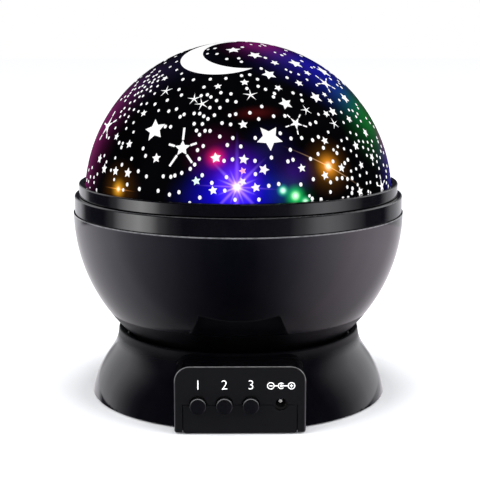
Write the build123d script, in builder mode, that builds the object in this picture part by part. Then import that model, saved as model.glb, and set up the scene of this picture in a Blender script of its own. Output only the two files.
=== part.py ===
"""Star night light projector: a dome printed with a night sky that turns on a flared base.

Millimetres, +Z up, front towards -Y. The origin is on the floor, on the axis of the dome.
The base holds the cells, the control board and the gearmotor. The motor's pinion turns an
internal ring gear in the floor of the bowl, which runs on the base's hollow centre post.
The lamp board stands still on that post, and the dome twists off the bowl's rim.
"""
import os
from math import acos, asin, cos, degrees, pi, radians, sin, sqrt, tan

from build123d import *

# ---- driving dimensions -------------------------------------------------------------------

# clearances
slip = 0.05          # running fit, on the radius
press_gap = 0.02     # pressed or glued fit, on the radius
free_gap = 0.3       # between pieces that pass each other
parting = 0.25       # open seam between two mouldings of one casing

# flared base
foot_stand = 0.6     # how far the rubber feet hold the base's rim off the floor
neck_radius = 48.3
waist_flare = 4.9    # how far the waist stands out beyond the neck
rim_flare = 10.7     # how far the rim stands out beyond the neck
waist_z = 14.6
base_wall = 2.2
collar_wall = 2.0
collar_height = 6.0  # from the deck to the neck's lip
lip_edge = 0.6
deck_thickness = 2.0
lead_space = 2.9     # between the battery bay's roof and the deck
post_radius = 11.0
post_bore = 6.5
gear_room = 12.7     # from the bowl's floor to the top of the post
hub_play = 0.4       # lift of the bowl under the motor plate
flare_rim_lean = 0.15
flare_waist_lean = 0.68

# control housing on the front of the base
housing_width = 48.0
housing_depth = 13.3  # from the neck to its flat face
housing_drop = 1.0   # its top lies this far below the neck's lip
housing_corner = 5.7
housing_foot_corner = 0.9
housing_wall = 2.0
housing_edge = 0.8
cavity_gap = 0.9     # between its cavity and the collar
tab_margin = 3.0     # the tab's window is this much narrower on each side
tab_corner = 1.0
control_z = 11.3     # height of the buttons and the jack
button_x = [-15.3, -5.7, 3.9]
button_radius = 3.0
button_proud = 2.8
button_crown = 0.25
button_edge = 0.4
button_travel = 0.8
button_flange = 1.0  # radial width of the flange behind the wall
flange_thickness = 1.0
plunger_radius = 1.75
plunger_depth = 1.6  # length of the plunger inside the switch
jack_x = 14.9
jack_hole = 2.45
jack_bore = 1.9
jack_pin_radius = 0.65
jack_pin_root = 0.95
jack_pin_length = 4.0
jack_width = 8.0
jack_back_wall = 1.0
chip_x = 9.0
chip_width = 6.0
chip_height = 5.0
chip_depth = 1.6
capacitor_x = -8.0
capacitor_radius = 2.5
capacitor_length = 5.0

# control board and what is on it
board_setback = 9.6  # from the housing's face to the board's front
board_side_gap = 1.0
board_top_gap = 2.2
board_rest_height = 1.7
board_thickness = 1.6
board_corner = 2.0
board_boss_inset = 3.0
board_boss_radius = 2.0
switch_size = 6.0
switch_depth = 3.5

# bottom cover, battery bay and door
cover_thickness = 2.0
cover_recess = 0.3   # the cover sits this far inside the rim
bay_half_width = 23.0
bay_front = -11.0
bay_length = 50.0
bay_wall = 1.5
bay_roof = 14.2
door_thickness = 1.6
door_gap = 0.3
hinge_barrel = 1.4
hinge_pin = 0.8
hinge_pin_length = 1.3
thumb_notch = 4.0
notch_depth = 1.2
board_rest_width = 4.0
latch_width = 9.0
latch_height = 2.2
latch_wall = 1.0
latch_bump = 0.3
latch_foot = 1.1     # where the bump starts, above the door
latch_nose = 1.5     # where the bump stands out furthest
door_rib_height = 0.6
door_rib_length = 30.0
foot_radius = 5.0
foot_height = 1.8
foot_edge = 0.35
foot_inset = 9.5     # from the rim to the middle of a foot
foot_angles = [20, 160, 200, 340]
pillar_gap = 2.65    # between the bay's wall and a screw pillar
pillar_radius = 3.25
cell_contact = 0.4   # thickness of the contact plates
contact_width = 8.0
contact_height = 8.6
cell_pitch = 11.2
spring_reach = 3.0

# bowl
bowl_radius = 65.5
bowl_gap = 0.9       # between the bowl and the collar's lip
bowl_wall = 2.2
bowl_floor_lift = 1.5
bowl_floor_thickness = 2.2
rim_drop = 0.2       # the wall ends this far below the bowl's middle
hub_radius = 14.6
bush_wall = 1.6
washer_outer = 20.0
washer_clearance = 0.3
tongue_wall = 1.0
tongue_height = 1.4
rib_count = 6
rib_width = 1.8
rib_reach = 5.5      # how far the ribs reach in under the inner cover
rib_height = 18.3
cover_boss_radius = 2.4

# ring gear and pinion
gear_module = 1.25
ring_teeth = 52
pinion_teeth = 12
pressure_angle = 20.0
ring_addendum = 0.75
ring_dedendum = 1.6
pinion_addendum = 1.0
pinion_dedendum = 1.35
backlash = 0.2
ring_gear_outer = 37.5
ring_gear_height = 6.0
pinion_height = 5.0
pinion_lift = 0.5    # pinion's underside above the bowl's floor
peg_radius = 1.5
peg_length = 1.5
peg_count = 4
shaft_radius = 1.5
pinion_boss_radius = 4.0
pinion_boss_height = 2.0

# motor plate, gearmotor and lamp post
plate_thickness = 2.0
plate_hub = 15.0
plate_margin = 1.0   # of the plate's arm round the gearbox's ears
gearbox_radius = 12.0
gearbox_height = 9.0
motor_radius = 8.0
motor_flat = 6.5     # half the width across the motor's flats
motor_shift = 2.5    # motor axis beyond the output shaft
motor_boss_radius = 2.8
motor_boss_height = 1.2
motor_headroom = 4.3  # between the motor's boss and the dish of the inner cover
shaft_grip = 6.0     # length of the shaft inside the gearbox
ear_radius = 3.0
ear_reach = 14.6
ear_thickness = 1.6
lamp_post_radius = 7.4
lamp_post_bore = 5.6
lamp_foot_radius = 11.4
lamp_foot_thickness = 2.0
lamp_board_lift = 4.1  # above the inner cover's dish
lamp_board_radius = 17.0
lamp_radius = 2.5
lamp_height = 8.6
lamp_circle = 10.5
lamp_flange = 0.35
lamp_flange_height = 1.0
lamp_angles = {"red": 150, "blue": 270, "green": 30}
lamp_flange_radius = 12.5
lamp_flange_thickness = 1.8
lamp_screw_circle = 10.0

# rim ring, dome ring and dome
ring_inset = 0.5     # the rim ring is set in from the bowl's widest circle
ring_height = 6.5
ring_wall = 3.7
groove_lift = 2.7
groove_height = 2.4
groove_depth = 1.8
dome_ring_inset = 1.8  # the dome ring is set in from the rim ring
dome_ring_height = 4.5
skirt_wall = 2.2
seat_lift = 1.3      # shoulder the dome stands on, above the ring's underside
dome_collar = 2.05   # wall of the ring round the dome
dome_sink = 3.0      # the dome's centre lies this far below its seat
dome_wall = 1.2
mask_wall = 0.4
ring_edge = 0.5
lug_count = 3
lug_root = 0.5       # how far a lug runs back into the skirt
lug_stop = 1.0       # degrees between a locked lug and the end of its groove
lug_angle = 20.0
slot_angle = 24.0
twist_angle = 28.0   # how far the dome turns from locked to lift-off

# inner cover
cover_side_gap = 1.8  # between the cover and the bowl's wall
cover_drop = 3.5     # the cover's seat lies this far below the bowl's middle
cover_rim_width = 7.5
cover_hole = 19.0
cover_wall = 1.5
cover_dish = 3.8

# screws
screw_radius = 1.4
screw_head_radius = 2.7
screw_head_height = 1.2
small_screw_radius = 0.95
small_head_radius = 1.7
small_head_height = 1.1
small_screw_length = 5.0
post_screw_grip = 8.0
cover_screw_grip = 8.0
plate_screw_circle = 9.2

# leads
harness_radius = 0.9
lead_radius = 0.7
lead_bend = 4.0
lead_run = 6.0
harness_spread = 2.4
motor_lead_bend = 3.5
window_length = 8.0
window_width = 4.0
battery_lead_x = -14.0
battery_lead_sag = 3.0
battery_lead_bend = 12.0

# night sky cut through the print: azimuth from the front, elevation, tip radius, turn
print_stars = [
    (-35, 30, 4.0, 12),
    (12, 28, 4.4, 36),
    (22, 41, 2.9, 10),
    (19, 55, 2.5, 0),
    (47, 61, 2.9, 20),
    (40, 43, 2.7, 5),
    (62, 41, 2.8, 15),
    (-56, 26, 2.6, 8),
    (-21, 24, 4.6, 0),
    (150, 35, 3.8, 10),
    (-140, 45, 3.4, 25),
    (180, 60, 3.0, 0),
]
star_waist = 0.42    # inner radius of a star as a share of its tip radius
moon_azimuth = -15.0
moon_elevation = 73.5
moon_radius = 18.1
bite_azimuth = 3.8
bite_elevation = 73.1
bite_radius = 15.1

# ---- sizes that follow ----------------------------------------------------------------------

# base, from the floor up and from the neck out
cover_bottom = foot_stand + cover_recess
cover_top = cover_bottom + cover_thickness
deck_bottom = bay_roof + bay_wall + lead_space
deck_z = deck_bottom + deck_thickness
neck_z = deck_z + collar_height
collar_bore = neck_radius - collar_wall
waist_radius = neck_radius + waist_flare
rim_radius = neck_radius + rim_flare
foot_circle = rim_radius - foot_inset
pillar_circle = (bay_half_width + bay_wall + pillar_gap + pillar_radius) * sqrt(2)
hinge_y = bay_front + hinge_barrel + door_gap
hinge_z = cover_bottom + hinge_barrel
door_back = bay_front + bay_length

# control housing and board
housing_face = neck_radius + housing_depth
housing_top = neck_z - housing_drop
housing_back = neck_radius + cavity_gap
housing_reach = housing_depth + housing_corner
wall_inner = housing_face - housing_wall
tab_half_width = housing_width / 2 - tab_margin
board_face = housing_face - board_setback
board_half_width = housing_width / 2 - housing_wall - board_side_gap
board_bottom = cover_top + board_rest_height
board_top = housing_top - housing_wall - board_top_gap
board_boss_x = board_half_width - board_boss_inset
board_boss_z = board_top - board_boss_inset
switch_front = board_face + switch_depth
button_back = wall_inner - free_gap - flange_thickness

# bowl and inner cover: the bowl's middle lies where its curve clears the collar's lip
bowl_inner = bowl_radius - bowl_wall
bowl_centre_z = neck_z + sqrt(bowl_radius**2 - (collar_bore - bowl_gap) ** 2)
bowl_floor_z = deck_z + bowl_floor_lift
bowl_floor_top = bowl_floor_z + bowl_floor_thickness
rim_z = bowl_centre_z - rim_drop
rib_top = bowl_centre_z - cover_drop
rib_bottom = rib_top - rib_height
inner_cover_radius = bowl_inner - cover_side_gap
cover_flat = inner_cover_radius - cover_rim_width
rib_inner = inner_cover_radius - rib_reach
dish_z = rib_top - cover_dish

# post, gears, gearmotor and lamps
post_top = bowl_floor_top + gear_room
hub_top = post_top - hub_play
bush_inner = post_radius + slip
bush_outer = bush_inner + bush_wall
ring_pitch = gear_module * ring_teeth / 2
pinion_pitch = gear_module * pinion_teeth / 2
pinion_y = ring_pitch - pinion_pitch
pinion_bottom = bowl_floor_top + pinion_lift
pinion_top = pinion_bottom + pinion_height
plate_top = post_top + plate_thickness
gearbox_top = plate_top + gearbox_height
motor_length = dish_z - motor_headroom - motor_boss_height - gearbox_top
motor_face_y = pinion_y + motor_shift - motor_flat
window_z = gearbox_top + motor_length / 2
lamp_foot_top = plate_top + lamp_foot_thickness
lamp_board_z = dish_z + lamp_board_lift
lamp_board_top = lamp_board_z + board_thickness

# rings and dome, out from the bowl's radius and up from its rim
ring_radius = bowl_radius - ring_inset
ring_throat = ring_radius - ring_wall
ring_bottom = rim_z + free_gap
ring_top = ring_bottom + ring_height
groove_bottom = ring_bottom + groove_lift
groove_top = groove_bottom + groove_height
dome_ring_radius = ring_radius - dome_ring_inset
dome_ring_bottom = ring_top + free_gap
dome_ring_top = dome_ring_bottom + dome_ring_height
skirt_outer = ring_throat - free_gap
skirt_inner = skirt_outer - skirt_wall
skirt_bottom = groove_bottom - free_gap
seat_z = dome_ring_bottom + seat_lift
dome_radius = dome_ring_radius - dome_collar - press_gap
dome_centre_z = seat_z - dome_sink
mask_outer = dome_radius - dome_wall - press_gap


def on_sphere(radius, centre_z, z):
    """Radius of a sphere's circle at height z."""
    return sqrt(radius**2 - (z - centre_z) ** 2)


def ring_band(bottom, top, inner, outer):
    """Closed outline of a straight band, right of the Z axis in the XZ plane."""
    Polyline((inner, bottom), (outer, bottom), (outer, top), (inner, top), close=True)


def ring_places(radius, count, start=0.0):
    """Places on a circle round the axis, start counted from +X."""
    angles = [radians(start + 360 * step / count) for step in range(count)]
    return [(radius * cos(angle), radius * sin(angle)) for angle in angles]


def radial_plane(angle):
    """Upright plane through the axis, turned from +X towards +Y."""
    along = (cos(radians(angle)), sin(radians(angle)), 0)
    across = (sin(radians(angle)), -cos(radians(angle)), 0)
    return Plane(origin=(0, 0, 0), x_dir=along, z_dir=across)


foot_places = [ring_places(foot_circle, 1, angle)[0] for angle in foot_angles]
peg_places = ring_places((ring_pitch + ring_dedendum + ring_gear_outer) / 2, peg_count, 45)
plate_screw_places = ring_places(plate_screw_circle, 3, 270)
ear_places = [(-ear_reach, pinion_y), (ear_reach, pinion_y)]
lamp_screw_places = ring_places(lamp_screw_circle, 2)
cover_screw_places = ring_places(rib_inner + 2 * rib_width, 3)


# ---- gear outlines ----------------------------------------------------------------------------


def involute(angle):
    """Involute function of a pressure angle in radians."""
    return tan(angle) - angle


def gear_outline(teeth, addendum, dedendum, pitch_thickness):
    """Points round a spur gear with involute flanks, one tooth centred on the Y axis."""
    pitch = gear_module * teeth / 2
    base = pitch * cos(radians(pressure_angle))
    root = pitch - dedendum
    tip = pitch + addendum
    start = max(root, base)
    flank_steps = 3
    flank = [(root, start)] if root < base else []
    flank += [(start + (tip - start) * step / flank_steps,) * 2 for step in range(flank_steps + 1)]
    half_at_pitch = pitch_thickness / (2 * pitch)
    half_angles = []
    for radius, on_curve in flank:
        roll = involute(radians(pressure_angle)) - involute(acos(min(1.0, base / on_curve)))
        half_angles.append((radius, half_at_pitch + roll))
    points = []
    for tooth in range(teeth):
        middle = pi / 2 + 2 * pi * tooth / teeth
        rising = [(radius, middle - half) for radius, half in half_angles]
        falling = [(radius, middle + half) for radius, half in reversed(half_angles)]
        points += [(radius * cos(turn), radius * sin(turn)) for radius, turn in rising + falling]
    return points


# ---- flared base ------------------------------------------------------------------------------


def flare(inset):
    """Outer curve of the base from rim to neck, moved in by inset."""
    rim = (rim_radius - inset, foot_stand)
    waist = (waist_radius - inset, waist_z)
    neck = (neck_radius - inset, neck_z)
    leans = [(-flare_rim_lean, 1), (-flare_waist_lean, 1), (0, 1)]
    Spline(rim, waist, neck, tangents=leans)


def housing_outline(inset):
    """Front view of the control housing, moved in by inset, open to the floor."""
    half = housing_width / 2 - inset
    top = housing_top - inset
    corner = housing_corner - inset
    shoulder = top - corner
    Line((-half, foot_stand), (-half, shoulder))
    CenterArc((corner - half, shoulder), corner, 180, -90)
    Line((corner - half, top), (half - corner, top))
    CenterArc((half - corner, shoulder), corner, 90, -90)
    Polyline((half, shoulder), (half, foot_stand), (-half, foot_stand))


def make_under_deck():
    """Solid that hollows the base below its deck; it follows the flare."""
    with BuildPart() as under_deck:
        with BuildSketch(Plane.XZ):
            with BuildLine():
                flare(base_wall)
                Polyline(
                    (neck_radius - base_wall, neck_z),
                    (0, neck_z),
                    (0, foot_stand),
                    (rim_radius - base_wall, foot_stand),
                )
            make_face()
        revolve(axis=Axis.Z)
        split(bisect_by=Plane.XY.offset(deck_bottom), keep=Keep.BOTTOM)
    return under_deck


def make_base_shell(under_deck):
    """One moulding: flared skirt, deck, collar, hollow post, control housing and screw pillars."""
    face = Plane.XZ.offset(housing_face)
    with BuildPart() as base_shell:
        with BuildSketch(Plane.XZ):
            with BuildLine():
                flare(0)
                Polyline((neck_radius, neck_z), (0, neck_z), (0, foot_stand), (rim_radius, foot_stand))
            make_face()
        revolve(axis=Axis.Z)
        # control housing, run back into the flare
        with BuildSketch(face):
            with BuildLine():
                housing_outline(0)
            make_face()
        extrude(amount=-housing_reach)
        foot_edges = base_shell.edges().filter_by(Axis.Y).group_by(Axis.Z)[0]
        fillet(foot_edges.group_by(Axis.X)[0] + foot_edges.group_by(Axis.X)[-1], housing_foot_corner)
        front_edges = base_shell.faces().filter_by(Axis.Y).sort_by(Axis.Y)[0].edges()
        fillet([edge for edge in front_edges if edge.center().Z > foot_stand + housing_edge], housing_edge)
        # hollow below the deck and well above it
        add(under_deck.part, mode=Mode.SUBTRACT)
        with BuildSketch(Plane.XY.offset(deck_z)):
            Circle(collar_bore)
        extrude(amount=neck_z - deck_z, mode=Mode.SUBTRACT)
        lip_edges = base_shell.edges().filter_by(GeomType.CIRCLE).group_by(Axis.Z)[-1]
        fillet(lip_edges, lip_edge)
        # cavity of the housing: tall at the front, low where it opens into the base
        with BuildSketch(Plane.XZ.offset(wall_inner)):
            with BuildLine():
                housing_outline(housing_wall)
            make_face()
        extrude(amount=-(wall_inner - housing_back), mode=Mode.SUBTRACT)
        with BuildSketch(Plane.XZ.offset(wall_inner)):
            with Locations((0, foot_stand)):
                Rectangle(
                    housing_width - 2 * housing_wall,
                    deck_bottom - foot_stand,
                    align=(Align.CENTER, Align.MIN),
                )
        extrude(amount=-(wall_inner - board_face + pillar_circle / 2), mode=Mode.SUBTRACT)
        # window for the cover's tab, and the upper halves of the control holes
        with BuildSketch(face):
            with Locations((0, foot_stand)):
                Rectangle(2 * tab_half_width, control_z - foot_stand, align=(Align.CENTER, Align.MIN))
            control_holes()
        extrude(amount=-housing_wall, mode=Mode.SUBTRACT)
        # bosses for the control board
        with BuildSketch(Plane.XZ.offset(board_face)):
            with Locations((-board_boss_x, board_boss_z), (board_boss_x, board_boss_z)):
                Circle(board_boss_radius)
        extrude(amount=wall_inner - board_face)
        with BuildSketch(Plane.XZ.offset(board_face)):
            with Locations((-board_boss_x, board_boss_z), (board_boss_x, board_boss_z)):
                Circle(small_screw_radius + press_gap)
        extrude(amount=small_screw_length, mode=Mode.SUBTRACT)
        # pillars for the cover's screws
        with BuildSketch(Plane.XY.offset(cover_top)):
            with PolarLocations(pillar_circle, 4, start_angle=45):
                Circle(pillar_radius)
        extrude(amount=deck_bottom - cover_top)
        with BuildSketch(Plane.XY.offset(cover_top)):
            with PolarLocations(pillar_circle, 4, start_angle=45):
                Circle(screw_radius + press_gap)
        extrude(amount=cover_screw_grip, mode=Mode.SUBTRACT)
        # hollow post
        with BuildSketch(Plane.XY.offset(deck_bottom)):
            Circle(post_radius)
        extrude(amount=post_top - deck_bottom)
        with BuildSketch(Plane.XY.offset(deck_bottom)):
            Circle(post_bore)
        extrude(amount=post_top - deck_bottom, mode=Mode.SUBTRACT)
        with BuildSketch(Plane.XY.offset(post_top)):
            with Locations(plate_screw_places):
                Circle(small_screw_radius + press_gap)
        extrude(amount=-post_screw_grip, mode=Mode.SUBTRACT)
    return base_shell


def control_holes():
    """Holes for the three buttons and the jack, in the plane of the housing's face."""
    with Locations([(x, control_z) for x in button_x]):
        Circle(button_radius + free_gap)
    with Locations((jack_x, control_z)):
        Circle(jack_hole)


def make_bottom_cover():
    """Floor of the base with its upright tab, the battery bay and the recesses for the feet."""
    tab_width = 2 * (tab_half_width - free_gap)
    tongue_width = housing_width - 2 * (housing_wall + free_gap)
    tab_height = control_z - parting - foot_stand
    bay_width = 2 * bay_half_width
    with BuildPart() as bottom_cover:
        with BuildSketch(Plane.XY.offset(cover_bottom)):
            Circle(rim_radius - base_wall - 2 * parting)
            with Locations((0, parting - wall_inner)):
                Rectangle(tongue_width, wall_inner - pillar_circle, align=(Align.CENTER, Align.MIN))
            with Locations((0, -wall_inner)):
                Rectangle(tab_width, housing_wall, align=(Align.CENTER, Align.MIN))
        extrude(amount=cover_thickness)
        # upright tab that closes the lower half of the housing's face
        with BuildSketch(Plane.XZ.offset(housing_face)) as tab:
            with Locations((0, foot_stand)):
                Rectangle(tab_width, tab_height, align=(Align.CENTER, Align.MIN))
            fillet(tab.vertices().group_by(Axis.Y)[0], tab_corner)
        extrude(amount=-housing_wall)
        with BuildSketch(Plane.XZ.offset(housing_face)):
            control_holes()
        extrude(amount=-housing_wall, mode=Mode.SUBTRACT)
        # battery bay
        with BuildSketch(Plane.XY.offset(cover_top)):
            with Locations((0, bay_front - bay_wall)):
                Rectangle(
                    bay_width + 2 * bay_wall,
                    bay_length + 2 * bay_wall,
                    align=(Align.CENTER, Align.MIN),
                )
        extrude(amount=bay_roof + bay_wall - cover_top)
        with BuildSketch(Plane.XY.offset(cover_bottom)):
            with Locations((0, bay_front)):
                Rectangle(bay_width, bay_length, align=(Align.CENTER, Align.MIN))
        extrude(amount=bay_roof - cover_bottom, mode=Mode.SUBTRACT)
        # sockets for the door's hinge pins
        with BuildSketch(Plane.YZ):
            with Locations((hinge_y, hinge_z)):
                Circle(hinge_pin + slip)
        socket_reach = bay_half_width + bay_wall
        extrude(amount=socket_reach, both=True, mode=Mode.SUBTRACT)
        # thumb notch beside the door's latch
        with BuildSketch(Plane.XY.offset(cover_bottom)):
            with Locations((0, door_back)):
                SlotCenterToCenter(latch_width, thumb_notch * 2)
        extrude(amount=notch_depth, mode=Mode.SUBTRACT)
        # rests for the control board's lower edge
        with BuildSketch(Plane.XY.offset(cover_top)):
            with Locations([(x, -board_face + board_thickness / 2) for x in (-board_boss_x, board_boss_x)]):
                Rectangle(board_rest_width, board_thickness * 2)
        extrude(amount=board_bottom - cover_top)
        # recesses for the feet, and holes for the screws
        with BuildSketch(Plane.XY.offset(cover_bottom)):
            with Locations(foot_places):
                Circle(foot_radius + slip)
        extrude(amount=foot_height - cover_bottom, mode=Mode.SUBTRACT)
        with BuildSketch(Plane.XY.offset(cover_bottom)):
            with PolarLocations(pillar_circle, 4, start_angle=45):
                Circle(screw_radius + 2 * slip)
        extrude(amount=cover_thickness, mode=Mode.SUBTRACT)
        with BuildSketch(Plane.XY.offset(cover_bottom)):
            with PolarLocations(pillar_circle, 4, start_angle=45):
                Circle(screw_head_radius + 2 * slip)
        extrude(amount=screw_head_height, mode=Mode.SUBTRACT)
    return bottom_cover


def make_battery_door():
    """Door of the battery bay, with its hinge barrel and pins, latch finger and cell ribs."""
    half_width = bay_half_width - door_gap
    back = door_back - door_gap
    latch_back = back - 2 * latch_bump
    door_top = cover_bottom + door_thickness
    with BuildPart() as battery_door:
        with BuildSketch(Plane.XY.offset(cover_bottom)):
            with Locations((0, hinge_y)):
                Rectangle(2 * half_width, back - hinge_y, align=(Align.CENTER, Align.MIN))
        extrude(amount=door_thickness)
        with BuildSketch(Plane.YZ):
            with Locations((hinge_y, hinge_z)):
                Circle(hinge_barrel)
        extrude(amount=half_width, both=True)
        with BuildSketch(Plane.YZ):
            with Locations((hinge_y, hinge_z)):
                Circle(hinge_pin)
        extrude(amount=half_width + hinge_pin_length, both=True)
        # latch finger between two slits
        slit_x = (latch_width + latch_wall) / 2
        with BuildSketch(Plane.XY.offset(cover_bottom)):
            with Locations((-slit_x, back), (slit_x, back)):
                Rectangle(latch_wall, latch_width, align=(Align.CENTER, Align.MAX))
        extrude(amount=door_thickness, mode=Mode.SUBTRACT)
        with BuildSketch(Plane.YZ):
            with BuildLine():
                Polyline(
                    (latch_back - latch_wall, door_top),
                    (latch_back, door_top),
                    (latch_back, door_top + latch_foot),
                    (latch_back + latch_bump, door_top + latch_nose),
                    (latch_back, door_top + latch_height),
                    (latch_back - latch_wall, door_top + latch_height),
                    close=True,
                )
            make_face()
        extrude(amount=latch_width / 2, both=True)
        # ribs that part the cells
        with BuildSketch(Plane.XY.offset(door_top)):
            with Locations([(x, bay_front + bay_length / 2) for x in (-cell_pitch, 0, cell_pitch)]):
                Rectangle(latch_wall, door_rib_length)
        extrude(amount=door_rib_height)
    return battery_door


def make_rubber_feet():
    with BuildPart() as rubber_feet:
        with BuildSketch():
            with Locations(foot_places):
                Circle(foot_radius)
        extrude(amount=foot_height)
        chamfer(rubber_feet.edges().group_by(Axis.Z)[0], foot_edge)
    return rubber_feet


def make_screws(seat, places, head_radius, head_height, shank_radius, shank_length):
    """Screws seated on a plane whose normal points the way their heads stand."""
    with BuildPart() as screws:
        with BuildSketch(seat):
            with Locations(places):
                Circle(head_radius)
        extrude(amount=head_height)
        with BuildSketch(seat):
            with Locations(places):
                Circle(shank_radius)
        extrude(amount=-shank_length)
    return screws


# ---- electrical parts in the base ---------------------------------------------------------------


def make_battery_contacts():
    """Stamped contacts that join four cells in series, flat at one pole and sprung at the other."""
    near = cell_pitch / 2
    far = 1.5 * cell_pitch
    pair_width = cell_pitch + contact_width
    top = bay_roof - 2 * parting
    bottom = top - contact_height
    middle = (top + bottom) / 2
    front_plates = [(-far, contact_width), (0, pair_width), (far, contact_width)]
    back_plates = [(-cell_pitch, pair_width), (cell_pitch, pair_width)]
    walls = [
        (bay_front, 1, front_plates, (-far, near)),
        (door_back, -1, back_plates, (-near, far)),
    ]
    with BuildPart() as battery_contacts:
        for wall_y, inward, plates, spring_columns in walls:
            plate_back = wall_y + inward * press_gap
            plate_face = plate_back + inward * cell_contact
            for x, width in plates:
                with BuildSketch(Plane.XZ.offset(-plate_back)):
                    with Locations((x, middle)):
                        Rectangle(width, contact_height)
                extrude(amount=-inward * cell_contact)
            for x in spring_columns:
                crest = plate_face + inward * spring_reach
                with BuildSketch(Plane.YZ.offset(x)):
                    with BuildLine():
                        ThreePointArc((plate_face, bottom), (crest, middle), (plate_face, top))
                        Line((plate_face, top), (plate_face, top - cell_contact))
                        ThreePointArc(
                            (plate_face, top - cell_contact),
                            (crest - inward * cell_contact, middle),
                            (plate_face, bottom + cell_contact),
                        )
                        Line((plate_face, bottom + cell_contact), (plate_face, bottom))
                    make_face()
                extrude(amount=contact_width / 4, both=True)
    return battery_contacts


def make_control_board():
    with BuildPart() as control_board:
        with BuildSketch(Plane.XZ.offset(board_face)):
            with Locations((0, board_bottom)):
                Rectangle(
                    2 * board_half_width,
                    board_top - board_bottom,
                    align=(Align.CENTER, Align.MIN),
                )
            with Locations((-board_boss_x, board_boss_z), (board_boss_x, board_boss_z)):
                Circle(small_screw_radius + slip, mode=Mode.SUBTRACT)
        extrude(amount=-board_thickness)
        upper_corners = control_board.edges().filter_by(Axis.Y).group_by(Axis.Z)[-1]
        chamfer(upper_corners, board_corner)
    return control_board


def make_switch_bodies():
    """Three push switches on the control board, each with a well for its plunger."""
    with BuildPart() as switch_bodies:
        with BuildSketch(Plane.XZ.offset(board_face)):
            with Locations([(x, control_z) for x in button_x]):
                Rectangle(switch_size, switch_size)
        extrude(amount=switch_depth)
        with BuildSketch(Plane.XZ.offset(switch_front)):
            with Locations([(x, control_z) for x in button_x]):
                Circle(plunger_radius + slip)
        extrude(amount=-(plunger_depth + button_travel + parting), mode=Mode.SUBTRACT)
    return switch_bodies


def make_button(x):
    """Button cap with a low crown and a flange behind the housing's wall."""
    tip = housing_face + button_proud
    crown_radius = (button_radius**2 + button_crown**2) / (2 * button_crown)
    half_way = button_radius / 2
    half_drop = crown_radius - sqrt(crown_radius**2 - half_way**2)
    with BuildPart() as button:
        with BuildSketch(Plane.XY.offset(control_z)) as profile:
            with BuildLine():
                crown_edge = (x + button_radius, button_crown - tip)
                ThreePointArc((x, -tip), (x + half_way, half_drop - tip), crown_edge)
                Polyline(
                    crown_edge,
                    (x + button_radius, -(button_back + flange_thickness)),
                    (x + button_radius + button_flange, -(button_back + flange_thickness)),
                    (x + button_radius + button_flange, -button_back),
                    (x, -button_back),
                    (x, -tip),
                )
            make_face()
            fillet(profile.vertices().sort_by_distance(crown_edge)[0], button_edge)
        revolve(axis=Axis((x, 0, control_z), (0, 1, 0)))
    return button


def make_plunger(x):
    """Plunger of one switch, from the button's back into the switch."""
    with BuildPart() as plunger:
        with BuildSketch(Plane.XZ.offset(switch_front - plunger_depth)):
            with Locations((x, control_z)):
                Circle(plunger_radius)
        extrude(amount=button_back - switch_front + plunger_depth)
    return plunger


def make_jack_body():
    """Socket for the power plug, fixed to the control board."""
    with BuildPart() as jack_body:
        with BuildSketch(Plane.XZ.offset(board_face)):
            with Locations((jack_x, control_z)):
                Rectangle(jack_width, jack_width)
        extrude(amount=wall_inner - free_gap - board_face)
        with BuildSketch(Plane.XZ.offset(board_face + jack_back_wall)):
            with Locations((jack_x, control_z)):
                Circle(jack_bore)
        extrude(amount=jack_width, mode=Mode.SUBTRACT)
        with BuildSketch(Plane.XZ.offset(board_face)):
            with Locations((jack_x, control_z)):
                Circle(jack_pin_root + press_gap)
        extrude(amount=jack_back_wall, mode=Mode.SUBTRACT)
    return jack_body


def make_jack_pin():
    """Centre pin of the socket, thicker where the socket's back wall holds it."""
    with BuildPart() as jack_pin:
        with BuildSketch(Plane.XZ.offset(board_face)):
            with Locations((jack_x, control_z)):
                Circle(jack_pin_root)
        extrude(amount=jack_back_wall)
        with BuildSketch(Plane.XZ.offset(board_face + jack_back_wall)):
            with Locations((jack_x, control_z)):
                Circle(jack_pin_radius)
        extrude(amount=jack_pin_length)
    return jack_pin


def make_control_chip():
    """Controller and smoothing capacitor on the back of the board."""
    board_back = board_face - board_thickness
    with BuildPart() as control_chip:
        with BuildSketch(Plane.XZ.offset(board_back)):
            with Locations((chip_x, control_z)):
                Rectangle(chip_width, chip_height)
        extrude(amount=-chip_depth)
        with BuildSketch(Plane.XZ.offset(board_back)):
            with Locations((capacitor_x, control_z)):
                Circle(capacitor_radius)
        extrude(amount=-capacitor_length)
    return control_chip


def lead(points, corner, radius):
    """A round lead along straight runs joined by arcs."""
    with BuildPart() as wire:
        with BuildLine() as path:
            FilletPolyline(points, radius=corner)
        with BuildSketch(Plane(origin=path.line @ 0, z_dir=path.line % 0)):
            Circle(radius)
        sweep(path=path.line)
    return wire


def lead_level():
    """Height of the leads between the bay's roof and the deck."""
    return (bay_roof + bay_wall + deck_bottom) / 2


def make_lamp_harness():
    """Lead from the control board over the bay's roof and up the post to the lamp board."""
    board_back = -(board_face - board_thickness)
    level = lead_level()
    points = [
        (-harness_spread, board_back, control_z),
        (-harness_spread, board_back + lead_run, control_z),
        (-harness_spread, bay_front - lead_run, level),
        (-harness_spread, 0, level),
        (-harness_spread, 0, lamp_board_z),
    ]
    return lead(points, lead_bend, harness_radius)


def make_motor_lead():
    """Lead from the control board up the post and out of the lamp post's window to the motor."""
    board_back = -(board_face - board_thickness)
    level = lead_level()
    points = [
        (harness_spread, board_back, control_z),
        (harness_spread, board_back + lead_run, control_z),
        (harness_spread, bay_front - lead_run, level),
        (harness_spread, 0, level),
        (harness_spread, 0, window_z),
        (harness_spread, motor_face_y, window_z),
    ]
    return lead(points, motor_lead_bend, lead_radius)


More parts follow.
